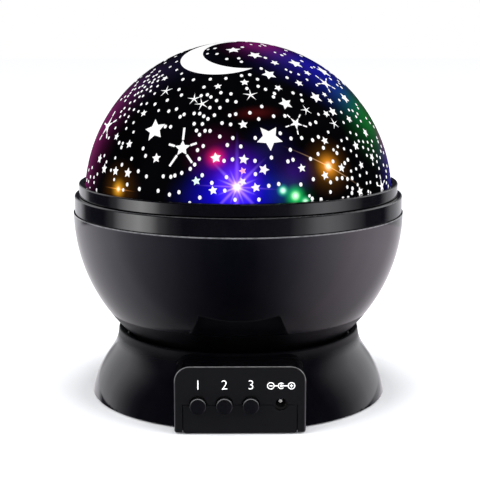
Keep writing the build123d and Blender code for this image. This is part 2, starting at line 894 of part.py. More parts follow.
def make_battery_lead():
    """Slack lead from the bay's front wall to the control board."""
    bay_end = bay_front - bay_wall
    board_end = board_thickness - board_face
    middle = (bay_end + board_end) / 2
    points = [
        (battery_lead_x, bay_end, control_z),
        (battery_lead_x, bay_end - lead_run, control_z),
        (battery_lead_x, middle, control_z - battery_lead_sag),
        (battery_lead_x, board_end + lead_run, control_z),
        (battery_lead_x, board_end, control_z),
    ]
    return lead(points, battery_lead_bend, harness_radius)


# ---- bearing, motor and lamp post ---------------------------------------------------------------


def make_thrust_washer():
    with BuildPart() as thrust_washer:
        with BuildSketch(Plane.XY.offset(deck_z)):
            Circle(washer_outer)
            Circle(post_radius + slip, mode=Mode.SUBTRACT)
        extrude(amount=bowl_floor_z - washer_clearance - deck_z)
    return thrust_washer


def make_motor_plate():
    """Plate on top of the post that traps the bowl and carries the gearmotor."""
    arm_radius = ear_reach + ear_radius + plate_margin
    with BuildPart() as motor_plate:
        with BuildSketch(Plane.XY.offset(post_top)):
            Circle(plate_hub)
            with Locations((0, pinion_y)):
                Circle(arm_radius)
            make_hull()
            Circle(post_bore, mode=Mode.SUBTRACT)
            with Locations((0, pinion_y)):
                Circle(shaft_radius + 2 * free_gap, mode=Mode.SUBTRACT)
            with Locations(plate_screw_places):
                Circle(small_screw_radius + slip, mode=Mode.SUBTRACT)
            with Locations(ear_places):
                Circle(small_screw_radius + slip, mode=Mode.SUBTRACT)
        extrude(amount=plate_thickness)
    return motor_plate


def make_gearbox():
    """Round reduction gearbox with two ears and a bore for the output shaft."""
    with BuildPart() as gearbox:
        with BuildSketch(Plane.XY.offset(plate_top)):
            with Locations((0, pinion_y)):
                Circle(gearbox_radius)
        extrude(amount=gearbox_height)
        with BuildSketch(Plane.XY.offset(plate_top)):
            with Locations(ear_places):
                Circle(ear_radius)
            make_hull()
            with Locations(ear_places):
                Circle(small_screw_radius + slip, mode=Mode.SUBTRACT)
        extrude(amount=ear_thickness)
        with BuildSketch(Plane.XY.offset(plate_top)):
            with Locations((0, pinion_y)):
                Circle(shaft_radius + slip)
        extrude(amount=shaft_grip + 2 * parting, mode=Mode.SUBTRACT)
    return gearbox


def make_motor_can():
    """Flat-sided motor on the gearbox."""
    with BuildPart() as motor_can:
        with BuildSketch(Plane.XY.offset(gearbox_top)):
            with Locations((0, pinion_y + motor_shift)):
                Circle(motor_radius)
                Rectangle(2 * motor_radius, 2 * motor_flat, mode=Mode.INTERSECT)
        extrude(amount=motor_length)
        with BuildSketch(Plane.XY.offset(gearbox_top + motor_length)):
            with Locations((0, pinion_y + motor_shift)):
                Circle(motor_boss_radius)
        extrude(amount=motor_boss_height)
    return motor_can


def make_lamp_post():
    """Tube on the motor plate that holds the lamp board still at the middle of the dome."""
    with BuildPart() as lamp_post:
        with BuildSketch(Plane.XY.offset(plate_top)):
            Circle(lamp_foot_radius)
        extrude(amount=lamp_foot_thickness)
        with BuildSketch(Plane.XY.offset(plate_top)):
            Circle(lamp_post_radius)
        extrude(amount=lamp_board_z - plate_top)
        with BuildSketch(Plane.XY.offset(plate_top)):
            Circle(lamp_post_bore)
        extrude(amount=lamp_board_z - plate_top, mode=Mode.SUBTRACT)
        with BuildSketch(Plane.XY.offset(plate_top)):
            with Locations(plate_screw_places):
                Circle(small_screw_radius + slip)
        extrude(amount=lamp_foot_thickness, mode=Mode.SUBTRACT)
        # window for the motor's lead
        with BuildSketch(Plane.XZ):
            with Locations((harness_spread, window_z)):
                SlotOverall(window_length, window_width, rotation=90)
        extrude(amount=-2 * lamp_post_radius, mode=Mode.SUBTRACT)
        # flange under the lamp board
        with BuildSketch(Plane.XY.offset(lamp_board_z)):
            Circle(lamp_flange_radius)
            Circle(lamp_post_bore, mode=Mode.SUBTRACT)
            with Locations(lamp_screw_places):
                Circle(small_screw_radius + press_gap, mode=Mode.SUBTRACT)
        extrude(amount=-lamp_flange_thickness)
    return lamp_post


def make_lamp_board():
    with BuildPart() as lamp_board:
        with BuildSketch(Plane.XY.offset(lamp_board_z)):
            Circle(lamp_board_radius)
            with Locations(lamp_screw_places):
                Circle(small_screw_radius + slip, mode=Mode.SUBTRACT)
        extrude(amount=board_thickness)
    return lamp_board


def make_lamp(places):
    """Round-nosed lamps that stand on the lamp board."""
    shoulder = lamp_board_top + lamp_height - lamp_radius
    with BuildPart() as lamp:
        with BuildSketch(Plane.XY.offset(lamp_board_top)):
            with Locations(places):
                Circle(lamp_radius + lamp_flange)
        extrude(amount=lamp_flange_height)
        with BuildSketch(Plane.XY.offset(lamp_board_top)):
            with Locations(places):
                Circle(lamp_radius)
        extrude(amount=shoulder - lamp_board_top)
        with Locations([(x, y, shoulder) for x, y in places]):
            Sphere(lamp_radius)
    return lamp


# ---- bowl ---------------------------------------------------------------------------------------


def make_cover_ribs():
    """Ribs and screw bosses that carry the inner cover, trimmed to the curve of the bowl's wall."""
    with BuildPart() as cover_ribs:
        with BuildSketch(Plane.XY.offset(rib_bottom)):
            with PolarLocations(rib_inner, rib_count):
                Rectangle(bowl_radius - rib_inner, rib_width, align=(Align.MIN, Align.CENTER))
            with Locations(cover_screw_places):
                Circle(cover_boss_radius)
        extrude(amount=rib_top - rib_bottom)
        with Locations((0, 0, bowl_centre_z)):
            Sphere(bowl_radius - bowl_wall / 2, mode=Mode.INTERSECT)
    return cover_ribs


def make_bowl_shell(cover_ribs):
    """Round bowl with a flat floor, hub tube, rim tongue and ribs for the inner cover."""
    floor_outer = on_sphere(bowl_radius, bowl_centre_z, bowl_floor_z)
    floor_inner = on_sphere(bowl_inner, bowl_centre_z, bowl_floor_top)
    tongue_inner = on_sphere(bowl_inner, bowl_centre_z, rim_z)
    middle_z = (bowl_floor_z + rim_z) / 2
    with BuildPart() as bowl_shell:
        with BuildSketch(Plane.XZ):
            with BuildLine():
                ThreePointArc(
                    (floor_outer, bowl_floor_z),
                    (on_sphere(bowl_radius, bowl_centre_z, middle_z), middle_z),
                    (on_sphere(bowl_radius, bowl_centre_z, rim_z), rim_z),
                )
                Polyline(
                    (on_sphere(bowl_radius, bowl_centre_z, rim_z), rim_z),
                    (tongue_inner + tongue_wall, rim_z),
                    (tongue_inner + tongue_wall, rim_z + tongue_height),
                    (tongue_inner, rim_z + tongue_height),
                    (tongue_inner, rim_z),
                )
                ThreePointArc(
                    (tongue_inner, rim_z),
                    (on_sphere(bowl_inner, bowl_centre_z, middle_z), middle_z),
                    (floor_inner, bowl_floor_top),
                )
                Polyline(
                    (floor_inner, bowl_floor_top),
                    (hub_radius, bowl_floor_top),
                    (hub_radius, hub_top),
                    (bush_outer + press_gap, hub_top),
                    (bush_outer + press_gap, bowl_floor_z),
                    (floor_outer, bowl_floor_z),
                )
            make_face()
        revolve(axis=Axis.Z)
        add(cover_ribs.part)
        with BuildSketch(Plane.XY.offset(rib_top)):
            with Locations(cover_screw_places):
                Circle(small_screw_radius + press_gap)
        extrude(amount=-small_screw_length, mode=Mode.SUBTRACT)
        # blind holes for the ring gear's pegs
        with BuildSketch(Plane.XY.offset(bowl_floor_top)):
            with Locations(peg_places):
                Circle(peg_radius + press_gap)
        extrude(amount=-(peg_length + 2 * parting), mode=Mode.SUBTRACT)
    return bowl_shell


def make_hub_bush():
    with BuildPart() as hub_bush:
        with BuildSketch(Plane.XY.offset(bowl_floor_z)):
            Circle(bush_outer)
            Circle(bush_inner, mode=Mode.SUBTRACT)
        extrude(amount=hub_top - bowl_floor_z)
    return hub_bush


def make_ring_gear():
    """Internal gear pegged to the bowl's floor."""
    space = pi * gear_module / 2 + backlash / 2
    teeth = gear_outline(ring_teeth, ring_dedendum, ring_addendum, space)
    with BuildPart() as ring_gear:
        with BuildSketch(Plane.XY.offset(bowl_floor_top)):
            Circle(ring_gear_outer)
            with BuildLine():
                Polyline(teeth, close=True)
            make_face(mode=Mode.SUBTRACT)
        extrude(amount=ring_gear_height)
        with BuildSketch(Plane.XY.offset(bowl_floor_top)):
            with Locations(peg_places):
                Circle(peg_radius)
        extrude(amount=-peg_length)
    return ring_gear


def make_drive_pinion():
    thickness = pi * gear_module / 2 - backlash / 2
    teeth = gear_outline(pinion_teeth, pinion_addendum, pinion_dedendum, thickness)
    with BuildPart() as drive_pinion:
        with BuildSketch(Plane(origin=(0, pinion_y, pinion_bottom))):
            with BuildLine():
                Polyline(teeth, close=True)
            make_face()
            Circle(shaft_radius + press_gap, mode=Mode.SUBTRACT)
        extrude(amount=pinion_height)
        with BuildSketch(Plane(origin=(0, pinion_y, pinion_top))):
            Circle(pinion_boss_radius)
            Circle(shaft_radius + press_gap, mode=Mode.SUBTRACT)
        extrude(amount=pinion_boss_height)
    return drive_pinion


def make_output_shaft():
    with BuildPart() as output_shaft:
        with BuildSketch(Plane(origin=(0, pinion_y, pinion_bottom))):
            Circle(shaft_radius)
        extrude(amount=plate_top + shaft_grip - pinion_bottom)
    return output_shaft


def make_inner_cover():
    """Dished cover over the mechanism, with a hole for the lamp board."""
    with BuildPart() as inner_cover:
        with BuildSketch(Plane.XZ):
            with BuildLine():
                Polyline(
                    (cover_hole, dish_z),
                    (cover_flat, rib_top),
                    (inner_cover_radius, rib_top),
                    (inner_cover_radius, rib_top + cover_wall),
                    (cover_flat, rib_top + cover_wall),
                    (cover_hole, dish_z + cover_wall),
                    close=True,
                )
            make_face()
        revolve(axis=Axis.Z)
        with BuildSketch(Plane.XY.offset(rib_top)):
            with Locations(cover_screw_places):
                Circle(small_screw_radius + slip)
        extrude(amount=cover_wall, mode=Mode.SUBTRACT)
    return inner_cover


def make_rim_ring():
    """Lower ring, glued over the bowl's tongue, with the bayonet's groove and entry slots."""
    tongue_outer = on_sphere(bowl_inner, bowl_centre_z, rim_z) + tongue_wall
    tongue_top = rim_z + tongue_height
    groove_outer = ring_throat + groove_depth
    with BuildPart() as rim_ring:
        with BuildSketch(Plane.XZ):
            with BuildLine():
                Polyline(
                    (ring_throat, tongue_top),
                    (tongue_outer + press_gap, tongue_top),
                    (tongue_outer + press_gap, ring_bottom),
                    (ring_radius, ring_bottom),
                    (ring_radius, ring_top),
                    (ring_throat, ring_top),
                    close=True,
                )
            make_face()
        revolve(axis=Axis.Z)
        top_edges = rim_ring.edges().filter_by(GeomType.CIRCLE).group_by(Axis.Z)[-1]
        fillet(top_edges.sort_by(SortBy.RADIUS)[-1], ring_edge)
        for lug in range(lug_count):
            lug_middle = 360 * lug / lug_count
            groove_start = lug_middle - twist_angle - slot_angle / 2
            groove_end = lug_middle + lug_angle / 2 + lug_stop
            with BuildSketch(radial_plane(groove_start)):
                with BuildLine():
                    ring_band(groove_bottom, groove_top, skirt_outer, groove_outer)
                make_face()
            revolve(axis=Axis.Z, revolution_arc=groove_end - groove_start, mode=Mode.SUBTRACT)
            with BuildSketch(radial_plane(groove_start)):
                with BuildLine():
                    ring_band(groove_bottom, dome_ring_bottom, skirt_outer, groove_outer)
                make_face()
            revolve(axis=Axis.Z, revolution_arc=slot_angle, mode=Mode.SUBTRACT)
    return rim_ring


# ---- dome ---------------------------------------------------------------------------------------


def make_dome_ring():
    """Upper ring that holds the dome, with a skirt and three bayonet lugs."""
    with BuildPart() as dome_ring:
        with BuildSketch(Plane.XZ):
            with BuildLine():
                Polyline(
                    (skirt_inner, skirt_bottom),
                    (skirt_outer, skirt_bottom),
                    (skirt_outer, dome_ring_bottom),
                    (dome_ring_radius, dome_ring_bottom),
                    (dome_ring_radius, dome_ring_top),
                    (dome_radius + press_gap, dome_ring_top),
                    (dome_radius + press_gap, seat_z),
                    (skirt_inner, seat_z),
                    close=True,
                )
            make_face()
        revolve(axis=Axis.Z)
        outer_edges = dome_ring.edges().filter_by(GeomType.CIRCLE).group_by(SortBy.RADIUS)[-1]
        fillet(outer_edges.sort_by(Axis.Z)[-1], ring_edge)
        for lug in range(lug_count):
            lug_start = 360 * lug / lug_count - lug_angle / 2
            with BuildSketch(radial_plane(lug_start)):
                with BuildLine():
                    ring_band(
                        groove_bottom + free_gap,
                        groove_top - free_gap,
                        skirt_outer - lug_root,
                        ring_throat + groove_depth - free_gap,
                    )
                make_face()
            revolve(axis=Axis.Z, revolution_arc=lug_angle)
    return dome_ring


def dome_band(outer, thickness, foot):
    """Outline of a spherical shell about the dome's centre, from its foot to the top."""
    inner = outer - thickness
    outer_start = degrees(asin((foot - dome_centre_z) / outer))
    inner_start = degrees(asin((foot - dome_centre_z) / inner))
    CenterArc((0, dome_centre_z), outer, outer_start, 90 - outer_start)
    Line((0, dome_centre_z + outer), (0, dome_centre_z + inner))
    CenterArc((0, dome_centre_z), inner, 90, inner_start - 90)
    Line(
        (on_sphere(inner, dome_centre_z, foot), foot),
        (on_sphere(outer, dome_centre_z, foot), foot),
    )


def make_dome_shell():
    """Clear hemispherical dome."""
    with BuildPart() as dome_shell:
        with BuildSketch(Plane.XZ):
            with BuildLine():
                dome_band(dome_radius, dome_wall, seat_z)
            make_face()
        revolve(axis=Axis.Z)
    return dome_shell


def sky_plane(azimuth, elevation):
    """Plane that touches the print's outside, azimuth counted from the front towards +X."""
    out = Vector(
        sin(radians(azimuth)) * cos(radians(elevation)),
        -cos(radians(azimuth)) * cos(radians(elevation)),
        sin(radians(elevation)),
    )
    level = Vector(cos(radians(azimuth)), sin(radians(azimuth)), 0)
    return Plane(origin=Vector(0, 0, dome_centre_z) + out * mask_outer, x_dir=level, z_dir=out)


def star_points(tip, turn):
    """Corners of a five-pointed star, one tip up before it is turned."""
    corners = []
    for corner in range(10):
        radius = tip if corner % 2 == 0 else tip * star_waist
        angle = radians(90 + turn + 36 * corner)
        corners.append((radius * cos(angle), radius * sin(angle)))
    return corners


def cut_reach(radius):
    """How far a flat cut of this radius runs in to pass through the round print."""
    return mask_outer - sqrt(mask_outer**2 - radius**2) + 2 * mask_wall


def make_moon_cut():
    """Crescent prism: a disc with a smaller disc bitten out of it from the side."""
    with BuildPart() as moon_cut:
        with BuildSketch(sky_plane(moon_azimuth, moon_elevation)):
            Circle(moon_radius)
        extrude(amount=cut_reach(moon_radius), both=True)
        with BuildSketch(sky_plane(bite_azimuth, bite_elevation)):
            Circle(bite_radius)
        extrude(amount=cut_reach(moon_radius + bite_radius), both=True, mode=Mode.SUBTRACT)
    return moon_cut


def make_star_mask(moon_cut):
    """Black print inside the dome, with the moon and the largest stars left open."""
    with BuildPart() as star_mask:
        with BuildSketch(Plane.XZ):
            with BuildLine():
                dome_band(mask_outer, mask_wall, seat_z + press_gap)
            make_face()
        revolve(axis=Axis.Z)
        for azimuth, elevation, tip, turn in print_stars:
            with BuildSketch(sky_plane(azimuth, elevation)):
                with BuildLine():
                    Polyline(star_points(tip, turn), close=True)
                make_face()
            extrude(amount=cut_reach(tip), both=True, mode=Mode.SUBTRACT)
        add(moon_cut.part, mode=Mode.SUBTRACT)
    return star_mask


# ---- build and write ----------------------------------------------------------------------------


def write(sub_part, label):
    """Label one finished piece and write its STEP file."""
    sub_part.part.label = label
    export_step(sub_part.part, f"parts/{label}.step")


def main():
    os.makedirs("parts", exist_ok=True)
    under_deck = make_under_deck()
    write(make_base_shell(under_deck), "base_shell")
    write(make_bottom_cover(), "bottom_cover")
    write(make_battery_door(), "battery_door")
    write(make_rubber_feet(), "rubber_feet")
    under_cover = Plane(origin=(0, 0, cover_bottom + screw_head_height), x_dir=(1, 0, 0), z_dir=(0, 0, -1))
    cover_grip = cover_thickness - screw_head_height + cover_screw_grip
    pillar_places = ring_places(pillar_circle, 4, 45)
    cover_screws = make_screws(
        under_cover, pillar_places, screw_head_radius, screw_head_height, screw_radius, cover_grip
    )
    write(cover_screws, "cover_screws")
    write(make_battery_contacts(), "battery_contacts")
    write(make_control_board(), "control_board")
    behind_board = Plane.XZ.offset(board_face - board_thickness)
    board_back = Plane(origin=behind_board.origin, x_dir=(-1, 0, 0), z_dir=(0, 1, 0))
    board_screws = make_screws(
        board_back,
        [(-board_boss_x, board_boss_z), (board_boss_x, board_boss_z)],
        small_head_radius,
        small_head_height,
        small_screw_radius,
        board_thickness + small_screw_length - parting,
    )
    write(board_screws, "board_screws")
    write(make_control_chip(), "control_chip")
    write(make_switch_bodies(), "switch_bodies")
    for number, x in enumerate(button_x, 1):
        write(make_button(x), f"button_{number}")
        write(make_plunger(x), f"plunger_{number}")
    write(make_jack_body(), "jack_body")
    write(make_jack_pin(), "jack_pin")
    write(make_lamp_harness(), "lamp_harness")
    write(make_motor_lead(), "motor_lead")
    write(make_battery_lead(), "battery_lead")
    write(make_thrust_washer(), "thrust_washer")
    write(make_motor_plate(), "motor_plate")
    plate_screws = make_screws(
        Plane.XY.offset(lamp_foot_top),
        plate_screw_places,
        small_head_radius,
        small_head_height,
        small_screw_radius,
        lamp_foot_thickness + plate_thickness + post_screw_grip - parting,
    )
    write(plate_screws, "plate_screws")
    write(make_gearbox(), "gearbox")
    write(make_motor_can(), "motor_can")
    motor_screws = make_screws(
        Plane.XY.offset(plate_top + ear_thickness),
        ear_places,
        small_head_radius,
        small_head_height,
        small_screw_radius,
        ear_thickness + plate_thickness,
    )
    write(motor_screws, "motor_screws")
    write(make_lamp_post(), "lamp_post")
    write(make_lamp_board(), "lamp_board")
    lamp_screws = make_screws(
        Plane.XY.offset(lamp_board_top),
        lamp_screw_places,
        small_head_radius,
        small_head_height,
        small_screw_radius,
        board_thickness + lamp_flange_thickness,
    )
    write(lamp_screws, "lamp_screws")
    write(make_lamp([(0, 0)]), "white_lamp")
    for colour, angle in lamp_angles.items():
        write(make_lamp(ring_places(lamp_circle, 1, angle)), f"{colour}_lamp")
    write(make_bowl_shell(make_cover_ribs()), "bowl_shell")
    write(make_hub_bush(), "hub_bush")
    write(make_ring_gear(), "ring_gear")
    write(make_rim_ring(), "rim_ring")
    write(make_inner_cover(), "inner_cover")
    cover_pins = make_screws(
        Plane.XY.offset(rib_top + cover_wall),
        cover_screw_places,
        small_head_radius,
        small_head_height,
        small_screw_radius,
        cover_wall + small_screw_length - parting,
    )
    write(cover_pins, "inner_cover_screws")
    write(make_drive_pinion(), "drive_pinion")
    write(make_output_shaft(), "output_shaft")
    write(make_dome_ring(), "dome_ring")
    write(make_dome_shell(), "dome_shell")
    write(make_star_mask(make_moon_cut()), "star_mask")


if __name__ == "__main__":
    main()
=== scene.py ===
"""Star night light projector: finishes, printed dome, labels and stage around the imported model."""

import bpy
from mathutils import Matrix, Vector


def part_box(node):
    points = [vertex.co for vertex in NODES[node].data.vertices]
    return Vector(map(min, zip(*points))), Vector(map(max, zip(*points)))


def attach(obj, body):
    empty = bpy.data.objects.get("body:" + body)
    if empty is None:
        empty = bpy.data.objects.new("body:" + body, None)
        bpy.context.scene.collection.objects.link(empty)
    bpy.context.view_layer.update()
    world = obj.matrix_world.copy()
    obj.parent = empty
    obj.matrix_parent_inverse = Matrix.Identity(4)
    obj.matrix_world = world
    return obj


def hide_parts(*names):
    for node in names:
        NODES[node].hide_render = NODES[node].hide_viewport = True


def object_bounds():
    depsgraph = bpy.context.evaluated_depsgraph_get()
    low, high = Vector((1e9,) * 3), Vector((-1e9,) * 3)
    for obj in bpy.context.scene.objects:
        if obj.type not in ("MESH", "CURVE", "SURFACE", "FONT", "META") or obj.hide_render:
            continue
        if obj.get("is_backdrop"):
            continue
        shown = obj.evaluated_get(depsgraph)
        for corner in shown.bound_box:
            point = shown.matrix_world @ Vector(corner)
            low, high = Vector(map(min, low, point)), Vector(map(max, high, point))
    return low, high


bl_info = {
    "name": "Star night light projector",
    "version": (1, 0, 0),
    "blender": (4, 5, 0),
    "location": "3D View > Sidebar > Night Light",
    "description": "Finishes the star night light: housing, glowing sky, labels and stage",
    "category": "Object",
}

from math import asin, atan2, cos, hypot, pi, radians, sin, sqrt

import bmesh
import bpy
from bpy.props import FloatProperty, FloatVectorProperty, IntProperty, PointerProperty
from mathutils import Matrix, Vector

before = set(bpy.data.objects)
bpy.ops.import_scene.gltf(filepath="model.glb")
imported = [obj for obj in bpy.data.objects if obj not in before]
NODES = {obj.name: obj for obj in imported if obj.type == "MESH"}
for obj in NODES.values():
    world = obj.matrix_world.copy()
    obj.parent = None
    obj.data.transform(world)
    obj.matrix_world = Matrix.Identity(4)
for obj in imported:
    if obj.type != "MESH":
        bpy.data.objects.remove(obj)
CAD_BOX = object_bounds()
SLOT_OF_NODE = {name: node.material_slots[0].name for name, node in NODES.items()}
MM = 0.001


# ---- places taken from the frame -----------------------------------------------------------------


def node_low(node):
    """Lowest corner of a node's box at rest."""
    return Vector(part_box(node)[0])


def node_high(node):
    """Highest corner of a node's box at rest."""
    return Vector(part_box(node)[1])


def node_middle(node, axis):
    """Middle of a node's box along one axis."""
    return (node_low(node)[axis] + node_high(node)[axis]) / 2


DOME_RADIUS = (node_high("dome_shell").x - node_low("dome_shell").x) / 2
DOME_TOP = node_high("dome_shell").z
DOME_FOOT = node_low("dome_shell").z
DOME_RISE = DOME_TOP - DOME_FOOT
DOME_CENTRE = Vector((0, 0, DOME_TOP - (DOME_RADIUS ** 2 + DOME_RISE ** 2) / (2 * DOME_RISE)))
BOWL_WIDEST = node_high("bowl_shell").x
BOWL_LIP = max(
    vertex.co.z for vertex in NODES["bowl_shell"].data.vertices
    if vertex.co.xy.length > BOWL_WIDEST - 0.05 * MM
)
RIM_TOP = node_high("rim_ring").z
RIM_WIDEST = node_high("rim_ring").x
BASE_TOP = node_high("base_shell").z
HOUSING_FACE = node_low("base_shell").y
HOUSING_TOP = max(
    vertex.co.z for vertex in NODES["base_shell"].data.vertices if vertex.co.y < HOUSING_FACE + MM
)
# The collar of the base, in which the bowl turns.
COLLAR_TOP = 26.6 * MM
COLLAR_RADIUS = 48.3 * MM
BUTTONS = ("button_1", "button_2", "button_3")
BUTTON_RADIUS = 3.0 * MM


# ---- node maths ----------------------------------------------------------------------------------


class Wire:
    """One output of a node, so that node maths reads as ordinary expressions."""

    def __init__(self, graph, socket):
        self.graph = graph
        self.socket = socket

    def __add__(self, other):
        return self.graph.maths("ADD", self, other)

    def __sub__(self, other):
        return self.graph.maths("SUBTRACT", self, other)

    def __rsub__(self, other):
        return self.graph.maths("SUBTRACT", other, self)

    def __mul__(self, other):
        return self.graph.maths("MULTIPLY", self, other)

    def __truediv__(self, other):
        return self.graph.maths("DIVIDE", self, other)

    def __neg__(self):
        return self.graph.maths("MULTIPLY", self, -1.0)

    def __abs__(self):
        return self.graph.maths("ABSOLUTE", self)

    def exp(self):
        """The number e to the power of this value."""
        return self.graph.maths("EXPONENT", self)

    def clamp(self):
        """This value kept between 0 and 1."""
        return self.graph.node("ShaderNodeClamp", {"Value": self})

    def other(self, name):
        """Another output of the same node."""
        return Wire(self.graph, self.socket.node.outputs[name])


class Graph:
    """A node tree that is filled by method calls, each of which gives the new node's output."""

    def __init__(self, tree):
        self.tree = tree

    def node(self, kind, inputs=None, output=0, **settings):
        """A node of any kind; an input that is a Wire becomes a link, any other a set value."""
        made = self.tree.nodes.new(kind)
        for name, value in settings.items():
            setattr(made, name, value)
        for key, value in (inputs or {}).items():
            if isinstance(value, Wire):
                self.tree.links.new(value.socket, made.inputs[key])
            else:
                made.inputs[key].default_value = value
        return Wire(self, made.outputs[output]) if made.outputs else None

    def maths(self, operation, *values):
        """One operation on numbers."""
        return self.node("ShaderNodeMath", dict(enumerate(values)), operation=operation)

    def vector(self, operation, *values, scale=None, output=0):
        """One operation on vectors; output 1 is the number that some of them give."""
        inputs = dict(enumerate(values))
        if scale is not None:
            inputs["Scale"] = scale
        return self.node("ShaderNodeVectorMath", inputs, output, operation=operation)

    def mix(self, factor, first, second):
        """Blend of two colours."""
        inputs = {0: factor, 6: first, 7: second}
        return self.node("ShaderNodeMix", inputs, 2, data_type="RGBA")

    def ramp(self, value, stops):
        """Colour ramp over (position, colour) stops."""
        made = self.node("ShaderNodeValToRGB", {0: value})
        band = made.socket.node.color_ramp
        while len(band.elements) < len(stops):
            band.elements.new(1.0)
        for element, (position, colour) in zip(band.elements, stops):
            element.position = position
            element.color = (*colour, 1.0)
        return made

    def spread(self, value, low, high, new_low=0.0, new_high=1.0):
        """Value mapped from one range to another and clamped."""
        inputs = {0: value, 1: low, 2: high, 3: new_low, 4: new_high}
        return self.node("ShaderNodeMapRange", inputs)

    def fade(self, value, origin, limits, new_low=0.0, new_high=1.0):
        """Value mapped between two limits, in millimetres from an origin, and clamped."""
        low, high = (origin + limit * MM for limit in limits)
        return self.spread(value, low, high, new_low, new_high)

    def band(self, value, origin, rise, fall):
        """Share that rises between two limits and falls between two more, as fade counts them."""
        return self.fade(value, origin, rise) * self.fade(value, origin, fall, 1.0, 0.0)

    def noise(self, where, scale, detail=2.0, roughness=0.5):
        """Even noise between 0 and 1."""
        inputs = {"Vector": where, "Scale": scale, "Detail": detail, "Roughness": roughness}
        return self.node("ShaderNodeTexNoise", inputs)


class Finish(Graph):
    """A procedural material, laid out in the object's own space."""

    def __init__(self, name):
        self.material = bpy.data.materials.new(name)
        self.material.use_nodes = True
        super().__init__(self.material.node_tree)
        self.tree.nodes.clear()
        self.place = self.node("ShaderNodeTexCoord", output="Object")

    def axis(self, name):
        """One coordinate of the object's own space, in metres."""
        split = self.node("ShaderNodeSeparateXYZ", {0: self.place})
        return split.other(name)

    def bump(self, height, strength, distance):
        """Surface direction roughened by a height, over a distance in metres."""
        inputs = {"Height": height, "Strength": strength, "Distance": distance}
        return self.node("ShaderNodeBump", inputs)

    def surface(self, inputs):
        """Ends the material with one Principled surface."""
        shader = self.node("ShaderNodeBsdfPrincipled", inputs)
        self.node("ShaderNodeOutputMaterial", {"Surface": shader})
        return self.material


class Layout(Graph):
    """A Geometry Nodes tree with named inputs, which always ends in plain painted mesh."""

    def __init__(self, name, inputs):
        super().__init__(bpy.data.node_groups.new(name, "GeometryNodeTree"))
        sockets = self.tree.interface
        sockets.new_socket("Geometry", in_out="INPUT", socket_type="NodeSocketGeometry")
        sockets.new_socket("Paint", in_out="INPUT", socket_type="NodeSocketMaterial")
        for label, kind in inputs:
            sockets.new_socket(label, in_out="INPUT", socket_type="NodeSocket" + kind)
        sockets.new_socket("Geometry", in_out="OUTPUT", socket_type="NodeSocketGeometry")
        self.entry = self.tree.nodes.new("NodeGroupInput")
        self.position = self.node("GeometryNodeInputPosition")

    def given(self, label):
        """One of the tree's named inputs."""
        return Wire(self, self.entry.outputs[label])

    def join(self, *parts):
        """Several geometries as one."""
        made = self.tree.nodes.new("GeometryNodeJoinGeometry")
        for part in parts:
            self.tree.links.new(part.socket, made.inputs[0])
        return Wire(self, made.outputs[0])

    def seed_points(self):
        """The seed mesh that the tree is run on, as points."""
        return self.node("GeometryNodeMeshToPoints", {"Mesh": self.given("Geometry")})

    def stored(self, name, kind="FLOAT"):
        """A value that each point carries."""
        return self.node("GeometryNodeInputNamedAttribute", {"Name": name}, data_type=kind)

    def transform(self, geometry, **inputs):
        """Geometry moved, turned or scaled."""
        return self.node("GeometryNodeTransform", {"Geometry": geometry, **inputs})

    def plate(self, flat):
        """A flat outline made a closed plate one unit thick; points keep their height as lift."""
        inputs = {"Mesh": flat, "Offset": (0, 0, 1), "Individual": False}
        raised = self.node("GeometryNodeExtrudeMesh", inputs)
        under = self.node("GeometryNodeFlipFaces", {"Mesh": flat})
        inputs = {0: self.join(raised, under), "Distance": 0.001}
        closed = self.node("GeometryNodeMergeByDistance", inputs)
        height = self.node("ShaderNodeSeparateXYZ", {0: self.position}).other("Z")
        inputs = {"Geometry": closed, "Name": "lift", "Value": height}
        return self.node("GeometryNodeStoreNamedAttribute", inputs, data_type="FLOAT")

    def star(self, points, inner, outer):
        """Filled star in the plane of X and Y, with one ray towards +Y."""
        inputs = {"Points": points, "Inner Radius": inner, "Outer Radius": outer}
        outline = self.node("GeometryNodeCurveStar", inputs)
        filled = self.node("GeometryNodeFillCurve", {0: outline}, mode="NGONS")
        return self.transform(filled, Rotation=(0, 0, pi / 2))

    def leave(self, geometry):
        """Ends the tree: instances made real, then painted."""
        whole = self.node("GeometryNodeRealizeInstances", {0: geometry})
        inputs = {"Geometry": whole, "Material": self.given("Paint")}
        painted = self.node("GeometryNodeSetMaterial", inputs)
        self.tree.links.new(painted.socket, self.tree.nodes.new("NodeGroupOutput").inputs[0])


def grow(name, seed, layout, paint, settings):
    """Runs a layout on a seed mesh and keeps the result as one plain mesh object."""
    source = bpy.data.objects.new(name + "_seed", seed)
    bpy.context.collection.objects.link(source)
    modifier = source.modifiers.new("layout", "NODES")
    modifier.node_group = layout.tree
    for item in layout.tree.interface.items_tree:
        if item.in_out == "INPUT" and item.name == "Paint":
            modifier[item.identifier] = paint
        elif item.in_out == "INPUT" and item.name in settings:
            modifier[item.identifier] = settings[item.name]
    graph = bpy.context.evaluated_depsgraph_get()
    mesh = bpy.data.meshes.new_from_object(source.evaluated_get(graph), depsgraph=graph)
    source.modifiers.clear()
    bpy.data.objects.remove(source)
    mesh.name = name
    return place_mesh(name, mesh)


def place_mesh(name, mesh):
    """A mesh in the scene, under its own name and with its object at the origin."""
    if not mesh.polygons:
        raise RuntimeError(name + " came out empty")
    piece = bpy.data.objects.new(name, mesh)
    bpy.context.collection.objects.link(piece)
    return piece


def mesh_of(name, build):
    """The mesh of a bmesh, with its faces turned outwards."""
    bmesh.ops.recalc_face_normals(build, faces=build.faces)
    mesh = bpy.data.meshes.new(name)
    build.to_mesh(mesh)
    build.free()
    return mesh


